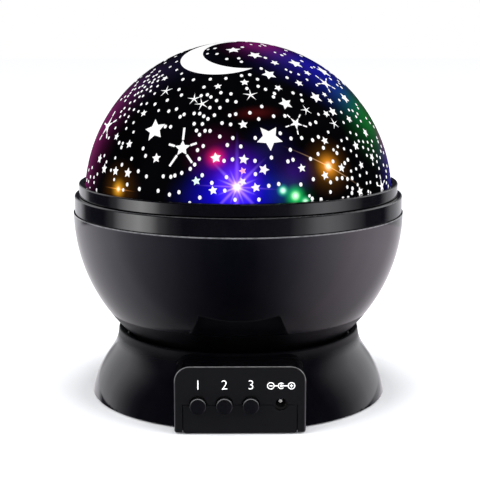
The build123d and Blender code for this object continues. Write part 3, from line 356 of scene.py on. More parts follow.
def bridge(build, first, second, closed=True):
    """Faces between two rows of vertices; a vertex that both share makes a triangle."""
    for step in range(len(first) if closed else len(first) - 1):
        beside = (step + 1) % len(first)
        corners = (first[step], first[beside], second[beside], second[step])
        distinct = list(dict.fromkeys(corners))
        if len(distinct) > 2:
            build.faces.new(distinct)


def close_mesh(name, build, paint, smooth=False):
    """A piece from a bmesh, with its doubles merged and its faces turned outwards."""
    bmesh.ops.remove_doubles(build, verts=build.verts, dist=1e-7)
    mesh = mesh_of(name, build)
    for face in mesh.polygons:
        face.use_smooth = smooth
    mesh.materials.append(paint)
    return place_mesh(name, mesh)


# ---- places on the dome --------------------------------------------------------------------------

# How far the sky is turned on the housing, in degrees from the front to +X.
SKY_TURN = -0.65


def sky_frame(azimuth, elevation):
    """Level, rising and outward unit vectors at a place of the sky, azimuth from front to +X."""
    turn, rise = radians(azimuth + SKY_TURN), radians(elevation)
    level = Vector((cos(turn), sin(turn), 0))
    rising = Vector((-sin(rise) * sin(turn), sin(rise) * cos(turn), cos(rise)))
    outward = Vector((cos(rise) * sin(turn), -cos(rise) * cos(turn), sin(rise)))
    return level, rising, outward


def on_sky(place):
    """The point of the dome at an azimuth and elevation."""
    return DOME_CENTRE + sky_frame(*place)[2] * DOME_RADIUS


# ---- the printed night sky -----------------------------------------------------------------------

# Tints of the lamps through the print: azimuth, elevation, spread in degrees, colour.
SKY_TINTS = (
    (-81, 7, 10.5, (0.100, 0.005, 0.065)),
    (-80, 22, 12.5, (0.125, 0.004, 0.066)),
    (-75, 36, 10.5, (0.082, 0.004, 0.054)),
    (-66, 49, 9.5, (0.018, 0.007, 0.034)),
    (-48, 61, 10, (0.004, 0.004, 0.014)),
    (34, 77, 9, (0.085, 0.004, 0.055)),
    (60, 80, 8, (0.090, 0.004, 0.060)),
    (42, 65, 10, (0.012, 0.007, 0.090)),
    (64, 56, 12, (0.005, 0.004, 0.270)),
    (58, 44, 8, (0.003, 0.012, 0.070)),
    (70, 32, 11, (0.003, 0.120, 0.018)),
    (82, 9, 11, (0.006, 0.006, 0.170)),
    (76, 18, 8, (0.020, 0.006, 0.020)),
    (20, 15.5, 5, (0.022, 0.004, 0.120)),
    (80, 22, 5, (0.080, 0.008, 0.025)),
    (12, 24, 6, (0.006, 0.004, 0.040)),
    (125, 30, 20, (0.010, 0.008, 0.150)),
    (160, 52, 16, (0.070, 0.004, 0.060)),
    (178, 22, 15, (0.008, 0.006, 0.120)),
    (-150, 40, 18, (0.003, 0.060, 0.014)),
    (-125, 18, 18, (0.080, 0.004, 0.040)),
)
# Lamps seen through the clear windows: azimuth, elevation, core size, halo size, halo colour.
LAMP_GLOWS = (
    (-0.4, 11.2, 1.30, 5.0, (0.150, 0.050, 1.000)),
    (-8, 21, 0.9, 2.5, (1.000, 0.012, 0.050)),
    (-47, 8, 0.7, 2.3, (0.850, 0.380, 0.020)),
    (34, 17, 1.1, 3.1, (0.950, 0.340, 0.020)),
    (15.4, 9.8, 0.8, 1.3, (0.040, 0.900, 0.360)),
    (19.8, 7.8, 1.1, 2.3, (0.010, 0.850, 0.160)),
    (23.4, 5.6, 0.8, 1.4, (0.040, 0.800, 0.300)),
    (172, 13, 1.6, 5.0, (0.230, 0.060, 1.000)),
    (-166, 24, 0.9, 3.0, (1.000, 0.010, 0.070)),
    (142, 15, 1.0, 3.0, (0.900, 0.340, 0.020)),
    (-148, 9, 1.0, 2.8, (0.010, 0.850, 0.160)),
)
# Wide light round a lamp: azimuth, elevation, spread, colour.
LAMP_HAZES = (
    (-1, 9, 9.8, (0.008, 0.001, 1.050)),
    (-15, 7, 6, (0.001, 0.001, 0.080)),
    (0, 17, 6, (0.060, 0.002, 0.120)),
    (14, 10, 5, (0.003, 0.014, 0.090)),
    (-8.5, 22, 6.5, (0.060, 0.001, 0.026)),
    (-47, 8, 6, (0.070, 0.025, 0.001)),
    (34, 17, 6, (0.110, 0.040, 0.002)),
    (20, 7, 4.5, (0.001, 0.050, 0.012)),
    (172, 10, 14, (0.010, 0.003, 0.700)),
    (-166, 24, 7, (0.100, 0.001, 0.030)),
    (142, 15, 9, (0.120, 0.045, 0.001)),
    (-148, 9, 7, (0.002, 0.070, 0.015)),
)
# Painted flare rays across a lamp, standing for the starburst glint of its light: azimuth,
# elevation, slant from level, width, length in degrees, colour.
LAMP_FLARE_RAYS = (
    (-0.4, 11.2, 90, 0.60, 10.0, (0.200, 0.090, 0.900)),
    (-0.4, 11.2, 46, 0.45, 7.5, (0.360, 0.180, 0.900)),
    (-0.4, 11.2, 134, 0.50, 6.5, (0.420, 0.220, 0.900)),
    (-0.4, 11.2, -3, 0.25, 8.0, (0.300, 0.130, 0.900)),
    (-0.4, 11.2, 22, 0.30, 4.0, (0.700, 0.480, 0.900)),
    (-0.4, 11.2, 158, 0.30, 3.8, (0.700, 0.480, 0.900)),
    (-0.4, 11.2, 68, 0.28, 3.4, (0.700, 0.480, 0.900)),
    (-0.4, 11.2, 112, 0.28, 3.4, (0.700, 0.480, 0.900)),
    (34, 17, -29, 0.16, 9.5, (0.700, 0.420, 0.220)),
    (-47, 8, 0, 0.18, 4.5, (0.750, 0.260, 0.050)),
    (7.5, 37.5, 4, 2.0, 5.5, (0.050, 0.003, 0.003)),
    (172, 13, 90, 0.45, 10.0, (0.190, 0.090, 1.000)),
    (172, 13, 40, 0.35, 8.0, (0.260, 0.110, 1.000)),
    (172, 13, 140, 0.35, 8.0, (0.260, 0.110, 1.000)),
)
# Listed windows: azimuth, elevation, tip radius in mm, turn in degrees, kind.
SOLID, THIN, RAYED, BURST, DOT = range(5)
STARS = (
    (-35, 30, 4.5, 18, SOLID), (12, 28, 5.0, 180, SOLID), (22, 41, 2.7, 14, SOLID),
    (40, 43, 2.6, 10, SOLID), (19, 55, 2.8, 16, SOLID), (47, 61, 3.0, -10, SOLID),
    (16, 68, 2.8, 20, SOLID), (-6, 73, 2.9, 8, SOLID), (69, 55, 3.4, -20, SOLID),
    (62, 41.5, 2.4, 12, SOLID), (45.5, 36.6, 2.0, 8, SOLID), (41, 36, 1.5, 20, SOLID),
    (35, 50, 1.7, 0, SOLID), (21, 48, 1.6, 30, SOLID), (28.5, 62, 1.7, 12, SOLID),
    (48, 55, 1.6, 20, SOLID), (47, 44, 1.2, 10, SOLID), (48, 41, 1.3, 24, SOLID),
    (-10.6, 49, 1.5, 10, SOLID), (3.5, 51, 1.7, 0, SOLID), (2, 33, 1.8, 6, SOLID),
    (35, 26, 1.6, 12, SOLID), (54, 33, 1.6, 10, SOLID), (51, 23, 1.8, 0, SOLID),
    (62, 27, 1.8, 14, SOLID), (60, 18, 1.6, 30, SOLID), (51, 16, 1.5, 10, SOLID),
    (40, 16, 1.7, -14, SOLID), (32, 14, 1.7, 14, SOLID), (23, 17, 1.6, 5, SOLID),
    (48, 7, 1.8, 12, SOLID), (54.5, 5, 1.6, 4, SOLID), (6, 11, 1.8, 10, SOLID),
    (9, 17, 2.0, -22, SOLID), (2, 20.5, 1.9, -8, SOLID), (1.6, 16.6, 1.4, 16, SOLID),
    (1.5, 13, 1.6, 26, SOLID), (-8, 21, 2.0, 10, SOLID), (-14.5, 13, 1.7, 12, SOLID),
    (-8.5, 10, 1.7, 10, SOLID), (-31, 20, 1.9, 8, SOLID), (-46, 24, 1.7, 14, SOLID),
    (-56, 26, 1.5, 0, SOLID), (-50, 14, 1.8, 6, SOLID), (-43, 14, 1.9, 0, SOLID),
    (-58, 14, 1.9, 10, SOLID), (-64, 17, 1.8, 0, SOLID), (-45, 36, 1.5, 20, SOLID),
    (-47, 52, 1.4, 0, SOLID), (-39, 46, 2.7, 14, THIN), (-21, 43, 2.7, 10, THIN),
    (-16.5, 41, 2.8, 22, THIN), (6, 45, 2.8, 4, THIN), (31, 38, 2.3, 12, THIN),
    (43, 32, 2.3, 8, THIN), (-21, 24, 8.0, 5, RAYED), (24, 33, 4.5, 34, BURST),
    (55, 49, 4.8, 14, BURST), (-69, 29, 6.6, 12, BURST), (64, 7, 4.4, 6, BURST),
    (88, 38, 3.6, 12, SOLID), (100, 22, 4.2, -10, SOLID), (112, 48, 2.8, 4, THIN),
    (120, 14, 7.0, 10, RAYED), (132, 33, 2.8, 20, SOLID), (145, 60, 3.0, 0, SOLID),
    (150, 26, 1.9, 12, SOLID), (158, 41, 2.8, 16, THIN), (165, 22, 1.8, 6, SOLID),
    (176, 33, 4.2, 180, SOLID), (180, 9, 1.8, 10, SOLID), (-172, 50, 2.6, 10, SOLID),
    (-160, 15, 1.9, 22, SOLID), (-152, 30, 7.6, 14, RAYED), (-140, 55, 2.7, 8, THIN),
    (-135, 20, 1.8, 0, SOLID), (-124, 38, 3.9, -14, SOLID), (-112, 10, 1.8, 12, SOLID),
    (-104, 28, 2.8, 6, THIN), (-96, 50, 2.6, 20, SOLID), (-90, 14, 1.8, 0, SOLID),
    (120, 70, 2.4, 10, SOLID),
)

# Small round windows listed one by one round the front stars: azimuth, elevation.
DOTS = (
    (-27, 14), (-24, 14), (-22.5, 14.5), (-20, 15.5), (-17, 17), (-15.5, 18.5), (-14, 20.5),
    (-15, 23.5), (-13, 25), (-16.5, 30.5), (-15, 29), (-13, 30.5), (-11, 30.5), (-18, 33),
    (-14.5, 33), (-19, 37), (-16.5, 37), (-14.5, 36), (-12.5, 35), (-10, 36.5), (-12.5, 39.5),
    (-8, 39.5), (-10, 42.5), (-5, 42.5), (-1, 42), (-18, 44.5), (-15, 45), (-13, 44), (-18, 48.5),
    (-8.5, 46), (-3.5, 45.5), (-3.5, 36.5), (-1, 37), (5, 37.5), (-6.5, 33.5), (-3, 33), (8.5, 35),
    (10.5, 40), (15, 36), (20, 36), (16.5, 29.5), (-7, 28.5), (-2, 28), (-4, 25.5), (1, 25),
    (20.5, 27.5), (25, 27.5), (29.5, 26.5), (32.5, 27.5), (30.5, 32.5), (33.5, 33), (19.5, 23.5),
    (30.5, 21.5), (27, 20), (33.5, 23.5), (6.5, 28), (12, 21), (-5, 20), (-2, 20.5), (37, 12.5),
    (39.5, 12.5), (42, 12), (44.5, 12), (26, 6.5), (29.5, 6), (33, 5), (39, 5.5), (41.5, 5.5),
    (43.5, 7), (44, 8.5), (36.5, 18.5), (42, 17.5), (44, 18.5), (22, 11.5), (27, 13), (34, 11.5),
    (-36.5, 9), (-28.5, 9), (-24, 8), (-20.5, 9), (-13, 7.5), (-16.5, 5.5), (-42.5, 10), (-38, 15),
    (-34, 13.5), (-36, 20.5), (-38, 23), (-42.5, 19), (-47, 16.5), (-52.5, 24), (-50, 22.5),
    (-16, 52.5), (-7, 53), (-33, 52), (-26, 52), (-31.5, 47), (-28.5, 44.5), (-35, 42), (-41, 40),
    (-31.5, 37.5), (-28, 38.5), (-25, 35.5), (-23.5, 36.5), (-9.5, 65), (2.5, 63), (0.5, 65.5),
    (-21.5, 69), (-33, 74.5), (2, 54.5), (7, 55), (11, 52.5), (15.5, 58.5), (10.5, 49), (4.5, 48),
    (14, 47.5), (18, 45.5), (17, 44), (28, 45.5), (31, 42), (29.5, 53), (-28, 31.5), (-30.5, 31.5),
    (-12.5, 15), (-9, 12.5), (-4, 14.5), (-4.5, 10), (6, 20), (6, 15.5), (-1, 7), (7, 7), (14, 5),
    (10.5, 11.5), (18, 19.5), (20, 20), (14, 12),
)

# Smaller round windows at both sides: azimuth, elevation.
SIDE_DOTS = (
    (-75.5, 11.5), (-75, 40), (-74, 48.5), (-72, 41.5), (-72, 47), (-71, 56), (-70.5, 13),
    (-69.5, 5.5), (-69.5, 45), (-69.5, 54.5), (-69.5, 60.5), (-69, 52), (-68.5, 43.5), (-68, 42),
    (-67, 40), (-67, 45.5), (-67, 52.5), (-66, 10), (-64.5, 49.5), (-63.5, 46.5), (-63, 11.5),
    (-63, 35.5), (-62, 6), (-62, 25), (-62, 37), (-62, 50.5), (-61.5, 47.5), (-61, 33.5), (-61, 43),
    (-60.5, 18.5), (-60, 29), (-60, 39.5), (-60, 52.5), (-60, 55.5), (-59.5, 44), (-58.5, 53.5),
    (-58, 34.5), (-58, 47), (-58, 49.5), (-57.5, 16.5), (-57.5, 45), (-57, 37), (-57, 40.5),
    (-55.5, 42.5), (-55.5, 51), (-55, 62), (-54.5, 49.5), (-54, 32), (-54, 34), (-54, 46),
    (-54, 58.5), (-53.5, 52.5), (-53, 14), (-53, 37), (-53, 43), (-52.5, 47.5), (-52, 18.5),
    (-52, 53.5), (-51.5, 29.5), (-51, 50.5), (-50, 11), (-50, 24), (-50, 39.5), (-50, 45.5),
    (-49, 36.5), (-48.5, 32), (-47.5, 48), (-46.5, 40), (-46, 28.5), (-45.5, 44.5), (-44, 57),
    (-37, 37.5), (-37, 55), (25, 7.5), (32, 44.5), (33, 57.5), (35, 56), (36.5, 36), (38, 22.5),
    (38, 29), (39.5, 54.5), (40.5, 23.5), (42.5, 51.5), (43.5, 22.5), (43.5, 25.5), (44.5, 14.5),
    (46, 5), (46.5, 48.5), (47, 9.5), (47, 21.5), (47, 26), (47.5, 15), (48, 5), (49, 12.5),
    (49, 32), (49.5, 19.5), (50.5, 28), (51, 36), (51.5, 5), (52.5, 9.5), (53, 6.5), (53.5, 13),
    (54, 24.5), (54, 27), (55, 9.5), (55.5, 22), (55.5, 41), (56.5, 19), (57, 24), (58, 5),
    (58, 30), (58, 36.5), (59, 21), (59.5, 15.5), (60, 8.5), (60.5, 11), (60.5, 23.5), (61, 33.5),
    (61, 36), (63, 20), (63, 22), (63, 31.5), (63.5, 16), (64, 13.5), (64, 34.5), (65, 18),
    (65, 23.5), (66.5, 47.5), (68, 17), (69, 36.5), (70, 7.5), (70, 14), (70, 38), (71, 9.5),
    (71.5, 19), (71.5, 32), (72, 11.5), (72, 48), (72.5, 6), (72.5, 22.5), (73, 24), (73.5, 30),
    (75, 20.5), (75.5, 13), (75.5, 18), (77, 28), (82.5, 10),
)

# What is cut off the foot of every bell and ray of light, so that they end.
BELL_FLOOR = 0.025
RAY_FLOOR = 0.02


def sharpness(spread):
    """How fast a bell of light with this spread in degrees falls, against the cosine."""
    return 1 / (1 - cos(radians(spread)))


class SkyMix:
    """Adds up the coloured light on the dome, by the direction from the dome's centre."""

    def __init__(self, finish):
        self.finish = finish
        outwards = finish.vector("SUBTRACT", finish.place, tuple(DOME_CENTRE))
        self.towards = finish.vector("NORMALIZE", outwards)
        self.total = None

    def along(self, direction):
        """Cosine of the angle from a direction."""
        return self.finish.vector("DOT_PRODUCT", self.towards, tuple(direction), output=1)

    def bell(self, azimuth, elevation, spread):
        """Bell-shaped share round a place on the dome, with its faint foot cut off."""
        outward = sky_frame(azimuth, elevation)[2]
        share = ((self.along(outward) - 1) * sharpness(spread)).exp()
        return (share - BELL_FLOOR).clamp()

    def ray(self, azimuth, elevation, slant, width, length):
        """Share of a painted flare ray across a place, fading along its length."""
        level, rising, outward = sky_frame(azimuth, elevation)
        across = rising * cos(radians(slant)) - level * sin(radians(slant))
        off = self.along(across) * (1 / sin(radians(width)))
        fade = (self.along(outward) - 1) * sharpness(length)
        return ((fade - off * off).exp() - RAY_FLOOR).clamp()

    def add(self, share, colour):
        """One more colour, by its share, on top of what is there."""
        part = self.finish.vector("SCALE", colour, scale=share)
        self.total = part if self.total is None else self.finish.vector("ADD", self.total, part)


# The print hardly mirrors the room, so that the dome stays black between its stars.
PRINT_IOR = 1.012
LAMP_CORE = (1.0, 0.95, 0.9)


def make_printed_sky(settings):
    """Black print on the clear dome, with the lamps' light glowing through it."""
    finish = Finish("printed_sky")
    sky = SkyMix(finish)
    mottle = finish.noise(finish.place, 90, detail=3.0) * 0.5 + 0.75
    for azimuth, elevation, spread, colour in SKY_TINTS:
        sky.add(sky.bell(azimuth, elevation, spread) * mottle * settings.tint, colour)
    for azimuth, elevation, spread, colour in LAMP_HAZES:
        sky.add(sky.bell(azimuth, elevation, spread) * mottle * settings.glow, colour)
    for azimuth, elevation, core, halo, colour in LAMP_GLOWS:
        sky.add(sky.bell(azimuth, elevation, halo) * settings.glow, colour)
        sky.add(sky.bell(azimuth, elevation, core) * settings.glow, LAMP_CORE)
    for azimuth, elevation, slant, width, length, colour in LAMP_FLARE_RAYS:
        sky.add(sky.ray(azimuth, elevation, slant, width, length) * settings.glow, colour)
    grain = finish.noise(finish.place, 2500, detail=2.0)
    wear = finish.noise(finish.place, 45, detail=4.0)
    blacks = ((0.35, (0.0004, 0.0004, 0.0006)), (0.7, (0.0010, 0.0010, 0.0014)))
    return finish.surface({
        "Base Color": finish.ramp(wear, blacks),
        "Roughness": finish.spread(wear, 0.3, 0.7, 0.10, 0.16),
        "IOR": PRINT_IOR,
        "Emission Color": sky.total,
        "Emission Strength": 1.0,
        "Normal": finish.bump(grain, 0.02, 0.00002),
    })


# Tints of the light in the windows near lamps: azimuth, elevation, spread, strength, colour.
WINDOW_TINTS = (
    (4, 15, 9, 0.45, (0.80, 0.62, 1.0)),
    (1.6, 16.6, 2.2, 0.9, (1.0, 0.30, 0.55)),
    (-14.5, 13, 3, 0.6, (0.55, 1.0, 0.85)),
    (19, 7, 4, 0.7, (0.55, 1.0, 0.75)),
)


def make_window_light(settings):
    """Lamp light in the clear windows: white, and tinted near the coloured lamps."""
    finish = Finish("window_light")
    sky = SkyMix(finish)
    unevenness = finish.noise(finish.place, 260, detail=1.0)
    light = finish.ramp(unevenness, ((0.30, (0.93, 0.90, 0.92)), (0.55, (1.0, 1.0, 1.0))))
    for azimuth, elevation, spread, strength, colour in WINDOW_TINTS:
        share = sky.bell(azimuth, elevation, spread) * strength
        light = finish.mix(share, light, (*colour, 1.0))
    return finish.surface({
        "Base Color": (0.05, 0.05, 0.05, 1.0),
        "Roughness": 0.12,
        "Emission Color": light,
        "Emission Strength": settings.window_light,
    })


# Facets of the printed dome, from foot to top and round it.
DOME_RINGS, DOME_TURNS = 56, 160


def lathe(build, profile, turns):
    """Turns a closed profile of (radius, height) points about Z; a point on the axis is a pole."""
    rings = []
    for radius, height in profile:
        if radius < 1e-7:
            rings.append([build.verts.new((0, 0, height))] * turns)
        else:
            angles = (2 * pi * step / turns for step in range(turns))
            corners = ((radius * cos(angle), radius * sin(angle), height) for angle in angles)
            rings.append([build.verts.new(corner) for corner in corners])
    for ring, following in zip(rings, rings[1:] + rings[:1]):
        bridge(build, ring, following)


def arc_profile(radius, steps):
    """Points of an arc about the dome's centre, from the dome's foot to its top."""
    start = asin((DOME_FOOT - DOME_CENTRE.z) / radius)
    rises = [start + (pi / 2 - start) * step / steps for step in range(steps)]
    arc = [(radius * cos(rise), DOME_CENTRE.z + radius * sin(rise)) for rise in rises]
    return arc + [(0, DOME_CENTRE.z + radius)]


class NIGHTLIGHT_OT_printed_dome(bpy.types.Operator):
    """Make the printed dome shell that stands for the clear dome and its mask"""

    bl_idname = "nightlight.printed_dome"
    bl_label = "Printed dome"

    def execute(self, context):
        settings = context.scene.nightlight_sky
        outside = arc_profile(DOME_RADIUS - settings.window_height, DOME_RINGS)
        inside = arc_profile(DOME_RADIUS - settings.shell_wall, DOME_RINGS // 2)
        build = bmesh.new()
        lathe(build, outside + inside[::-1], DOME_TURNS)
        piece = close_mesh("printed_dome", build, make_printed_sky(settings), smooth=True)
        piece.data.set_sharp_from_angle(angle=radians(40))
        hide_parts("dome_shell", "star_mask")
        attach(piece, "dome")
        return {"FINISHED"}


# How deep the windows reach into the print.
WINDOW_SINK = 0.08 * MM
STAR_POINTS = 5
RAY_WIDTH = 0.10
# Kinds of star whose tips reach 1: inner and outer radius of the body, where its separate rays
# start, and how far each of them reaches.
STAR_SHAPES = (
    (0.49, 1.0, 0.0, ()),
    (0.17, 1.0, 0.0, ()),
    (0.18, 0.38, 0.40, (1.0, 0.72, 1.0, 0.86, 0.70)),
    (0.20, 0.60, 0.66, (1.0,) * STAR_POINTS),
)
DOT_CORNERS = 12
DOT_STRETCH = 1.22
# Size of the dots at both sides, against an ordinary dot.
SIDE_DOT_SHARE = 0.80
# Least and greatest size of a scattered dot, against an ordinary dot.
DOT_SIZES = (0.68, 1.06)
# Facets of the ball that the dots are scattered on, round it and from pole to pole.
BALL_TURNS, BALL_RINGS = 96, 48
# Unevenness of the scattered dots: scale of the noise, its contrast and its level.
DOT_NOISE = (55, 1.5, -0.35)
# Places where the scattered dots crowd: azimuth, elevation, spread, strength.
DOT_CROWDS = (
    (95, 40, 14, 0.6),
    (-94, 40, 14, 0.8),
    (130, 40, 14, 0.8),
    (-150, 14, 16, 0.6),
    (-110, 50, 12, 0.8),
)
# Round parts of the sky whose dots are all listed: azimuth, elevation, reach in degrees.
HAND_SET_AREAS = ((-4, 34, 42), (-62, 33, 27), (62, 25, 26))
HAND_SET_EDGE = 6
# Scattered dots keep off the dome's foot and the moon, and off a listed window by a share of
# its size and a number of dot radii.
DOT_FOOT_MARGIN = 3.6 * MM
DOT_MOON_GAP = 1.0 * MM
STAR_CLEARANCE, DOT_CLEARANCE = 0.85, 2.2
# The moon's disc and the disc bitten out of it: azimuth and elevation, radius.
MOON_PLACE = (-15.5, 71.2)
MOON_RADIUS = 16.9 * MM
BITE_PLACE = (5.5, 73.1)
BITE_RADIUS = 15.2 * MM
# Facets of the crescent, from horn to horn and across.
MOON_STEPS, MOON_STRIPS = 72, 8


def star_seed(dot_radius):
    """Points on the dome for the listed windows, with their size, turn and kind."""
    stars = list(STARS)
    for dots, share in ((DOTS, 1.0), (SIDE_DOTS, SIDE_DOT_SHARE)):
        tip = dot_radius * share / MM
        stars += [(azimuth, elevation, tip, 0, DOT) for azimuth, elevation in dots]
    mesh = bpy.data.meshes.new("star_places")
    directions = [sky_frame(star[0], star[1])[2] for star in stars]
    mesh.from_pydata([DOME_CENTRE + DOME_RADIUS * direction for direction in directions], [], [])
    for name, kind, column in (("tip", "FLOAT", 2), ("turn", "FLOAT", 3), ("kind", "INT", 4)):
        values = mesh.attributes.new(name, kind, "POINT")
        for entry, star in zip(values.data, stars):
            entry.value = star[column]
    return mesh


def make_star(tree, inner, outer, start, reaches):
    """A star's body with its separate rays round it."""
    parts = [tree.star(STAR_POINTS, inner, outer)]
    for number, reach in enumerate(reaches):
        rod = tree.node("GeometryNodeMeshGrid", {
            "Size X": RAY_WIDTH, "Size Y": reach - start, "Vertices X": 2, "Vertices Y": 3,
        })
        moved = tree.transform(rod, Translation=(0, (reach + start) / 2, 0))
        parts.append(tree.transform(moved, Rotation=(0, 0, 2 * pi * number / STAR_POINTS)))
    return tree.join(*parts)


def set_windows(tree, places, turned, disc):
    """Every listed window on its place, one set of instances for each kind."""
    stretched = tree.transform(disc, Scale=(1, DOT_STRETCH, 1))
    shapes = [make_star(tree, *shape) for shape in STAR_SHAPES] + [stretched]
    for kind, shape in enumerate(shapes):
        inputs = {"Mesh": shape, "Level": 0 if kind == DOT else 1}
        fine = tree.node("GeometryNodeSubdivideMesh", inputs)
        inputs = {2: tree.stored("kind", "INT"), 3: kind}
        wanted = tree.node("FunctionNodeCompare", inputs, data_type="INT", operation="EQUAL")
        tip = tree.stored("tip") * MM
        inputs = {0: tip, 1: tip, 2: tree.given("Window Height")}
        size = tree.node("ShaderNodeCombineXYZ", inputs)
        yield tree.node("GeometryNodeInstanceOnPoints", {
            "Points": places, "Selection": wanted, "Instance": tree.plate(fine),
            "Rotation": turned, "Scale": size,
        })


def dot_share(tree, outward):
    """Share of the scattered dots that is left, by the direction from the dome's centre."""
    scale, contrast, level = DOT_NOISE
    share = tree.noise(tree.position, scale, detail=1.0) * contrast + level
    for azimuth, elevation, spread, strength in DOT_CROWDS:
        direction = tuple(sky_frame(azimuth, elevation)[2])
        near = tree.vector("DOT_PRODUCT", outward, direction, output=1)
        share = share + ((near - 1) * sharpness(spread)).exp() * strength
    share = share.clamp()
    for azimuth, elevation, reach in HAND_SET_AREAS:
        direction = tuple(sky_frame(azimuth, elevation)[2])
        near = tree.vector("DOT_PRODUCT", outward, direction, output=1)
        edge, inside = cos(radians(reach)), cos(radians(reach - HAND_SET_EDGE))
        share = tree.spread(near, edge, inside, 1.0, 0.0) * share
    return share


def scatter_dots(tree, places, outward):
    """Points spread over the dome that keep off its foot, the listed windows and the moon."""
    inputs = {0: BALL_TURNS, 1: BALL_RINGS, 2: tree.given("Dome Radius")}
    ball = tree.node("GeometryNodeMeshUVSphere", inputs)
    ball = tree.transform(ball, Translation=tuple(DOME_CENTRE))
    height = tree.node("ShaderNodeSeparateXYZ", {0: tree.position}).other("Z")
    low = tree.maths("LESS_THAN", height, DOME_FOOT + DOT_FOOT_MARGIN)
    inputs = {"Geometry": ball, "Selection": low}
    cap = tree.node("GeometryNodeDeleteGeometry", inputs, domain="POINT")
    scattered = tree.node("GeometryNodeDistributePointsOnFaces", {
        "Mesh": cap, "Distance Min": tree.given("Dot Spacing"),
        "Density Max": tree.given("Dot Density"),
        "Density Factor": dot_share(tree, outward), "Seed": tree.given("Seed"),
    }, distribute_method="POISSON")
    nearest = tree.node("GeometryNodeSampleNearest", {"Geometry": places}, domain="POINT")
    reach, nearby = (
        tree.node("GeometryNodeSampleIndex", {
            "Geometry": places, "Value": value, "Index": nearest,
        }, data_type=kind, domain="POINT")
        for kind, value in (("FLOAT", tree.stored("tip")), ("FLOAT_VECTOR", tree.position))
    )
    gap = tree.vector("DISTANCE", tree.position, nearby, output=1)
    least = reach * (STAR_CLEARANCE * MM) + tree.given("Dot Radius") * DOT_CLEARANCE
    crowded = tree.maths("LESS_THAN", gap, least)
    from_moon, from_bite = (
        tree.vector("DISTANCE", tree.position, tuple(on_sky(place)), output=1)
        for place in (MOON_PLACE, BITE_PLACE)
    )
    in_moon = tree.maths("LESS_THAN", from_moon, MOON_RADIUS + DOT_MOON_GAP)
    out_bite = tree.maths("GREATER_THAN", from_bite, BITE_RADIUS - DOT_MOON_GAP)
    blocked = tree.maths("MAXIMUM", crowded, in_moon * out_bite)
    inputs = {"Geometry": scattered, "Selection": blocked}
    return tree.node("GeometryNodeDeleteGeometry", inputs, domain="POINT")


def make_window_layout():
    """Stars on their places and dots scattered between them, all lying on the dome."""
    inputs = (
        ("Dome Radius", "Float"), ("Window Height", "Float"), ("Dot Radius", "Float"),
        ("Dot Spacing", "Float"), ("Dot Density", "Float"), ("Seed", "Int"),
    )
    tree = Layout("sky_windows", inputs)
    centre = tuple(DOME_CENTRE)
    outward = tree.vector("NORMALIZE", tree.vector("SUBTRACT", tree.position, centre))
    inputs = {0: outward, 1: (0, 0, 1)}
    upright = tree.node(
        "FunctionNodeAxesToRotation", inputs, primary_axis="Z", secondary_axis="Y",
    )
    angle = tree.node("ShaderNodeCombineXYZ", {2: tree.stored("turn") * (pi / 180)})
    inputs = {0: upright, 1: angle}
    turned = tree.node("FunctionNodeRotateRotation", inputs, rotation_space="LOCAL")
    places = tree.seed_points()
    inputs = {"Vertices": DOT_CORNERS, "Radius": 1.0}
    disc = tree.node("GeometryNodeMeshCircle", inputs, fill_type="NGON")
    parts = list(set_windows(tree, places, turned, disc))
    dots = scatter_dots(tree, places, outward)
    least, most = DOT_SIZES
    inputs = {"Min": least, "Max": most}
    chance = tree.node("FunctionNodeRandomValue", inputs, output=1, data_type="FLOAT")
    wide = chance * tree.given("Dot Radius")
    inputs = {0: wide, 1: wide * DOT_STRETCH, 2: tree.given("Window Height")}
    size = tree.node("ShaderNodeCombineXYZ", inputs)
    parts.append(tree.node("GeometryNodeInstanceOnPoints", {
        "Points": dots, "Instance": tree.plate(disc), "Rotation": upright, "Scale": size,
    }))
    whole = tree.node("GeometryNodeRealizeInstances", {0: tree.join(*parts)})
    lifted = tree.given("Dome Radius") + (tree.stored("lift") - 1) * tree.given("Window Height")
    lying = tree.vector("ADD", tree.vector("SCALE", outward, scale=lifted), centre)
    tree.leave(tree.node("GeometryNodeSetPosition", {"Geometry": whole, "Position": lying}))
    return tree


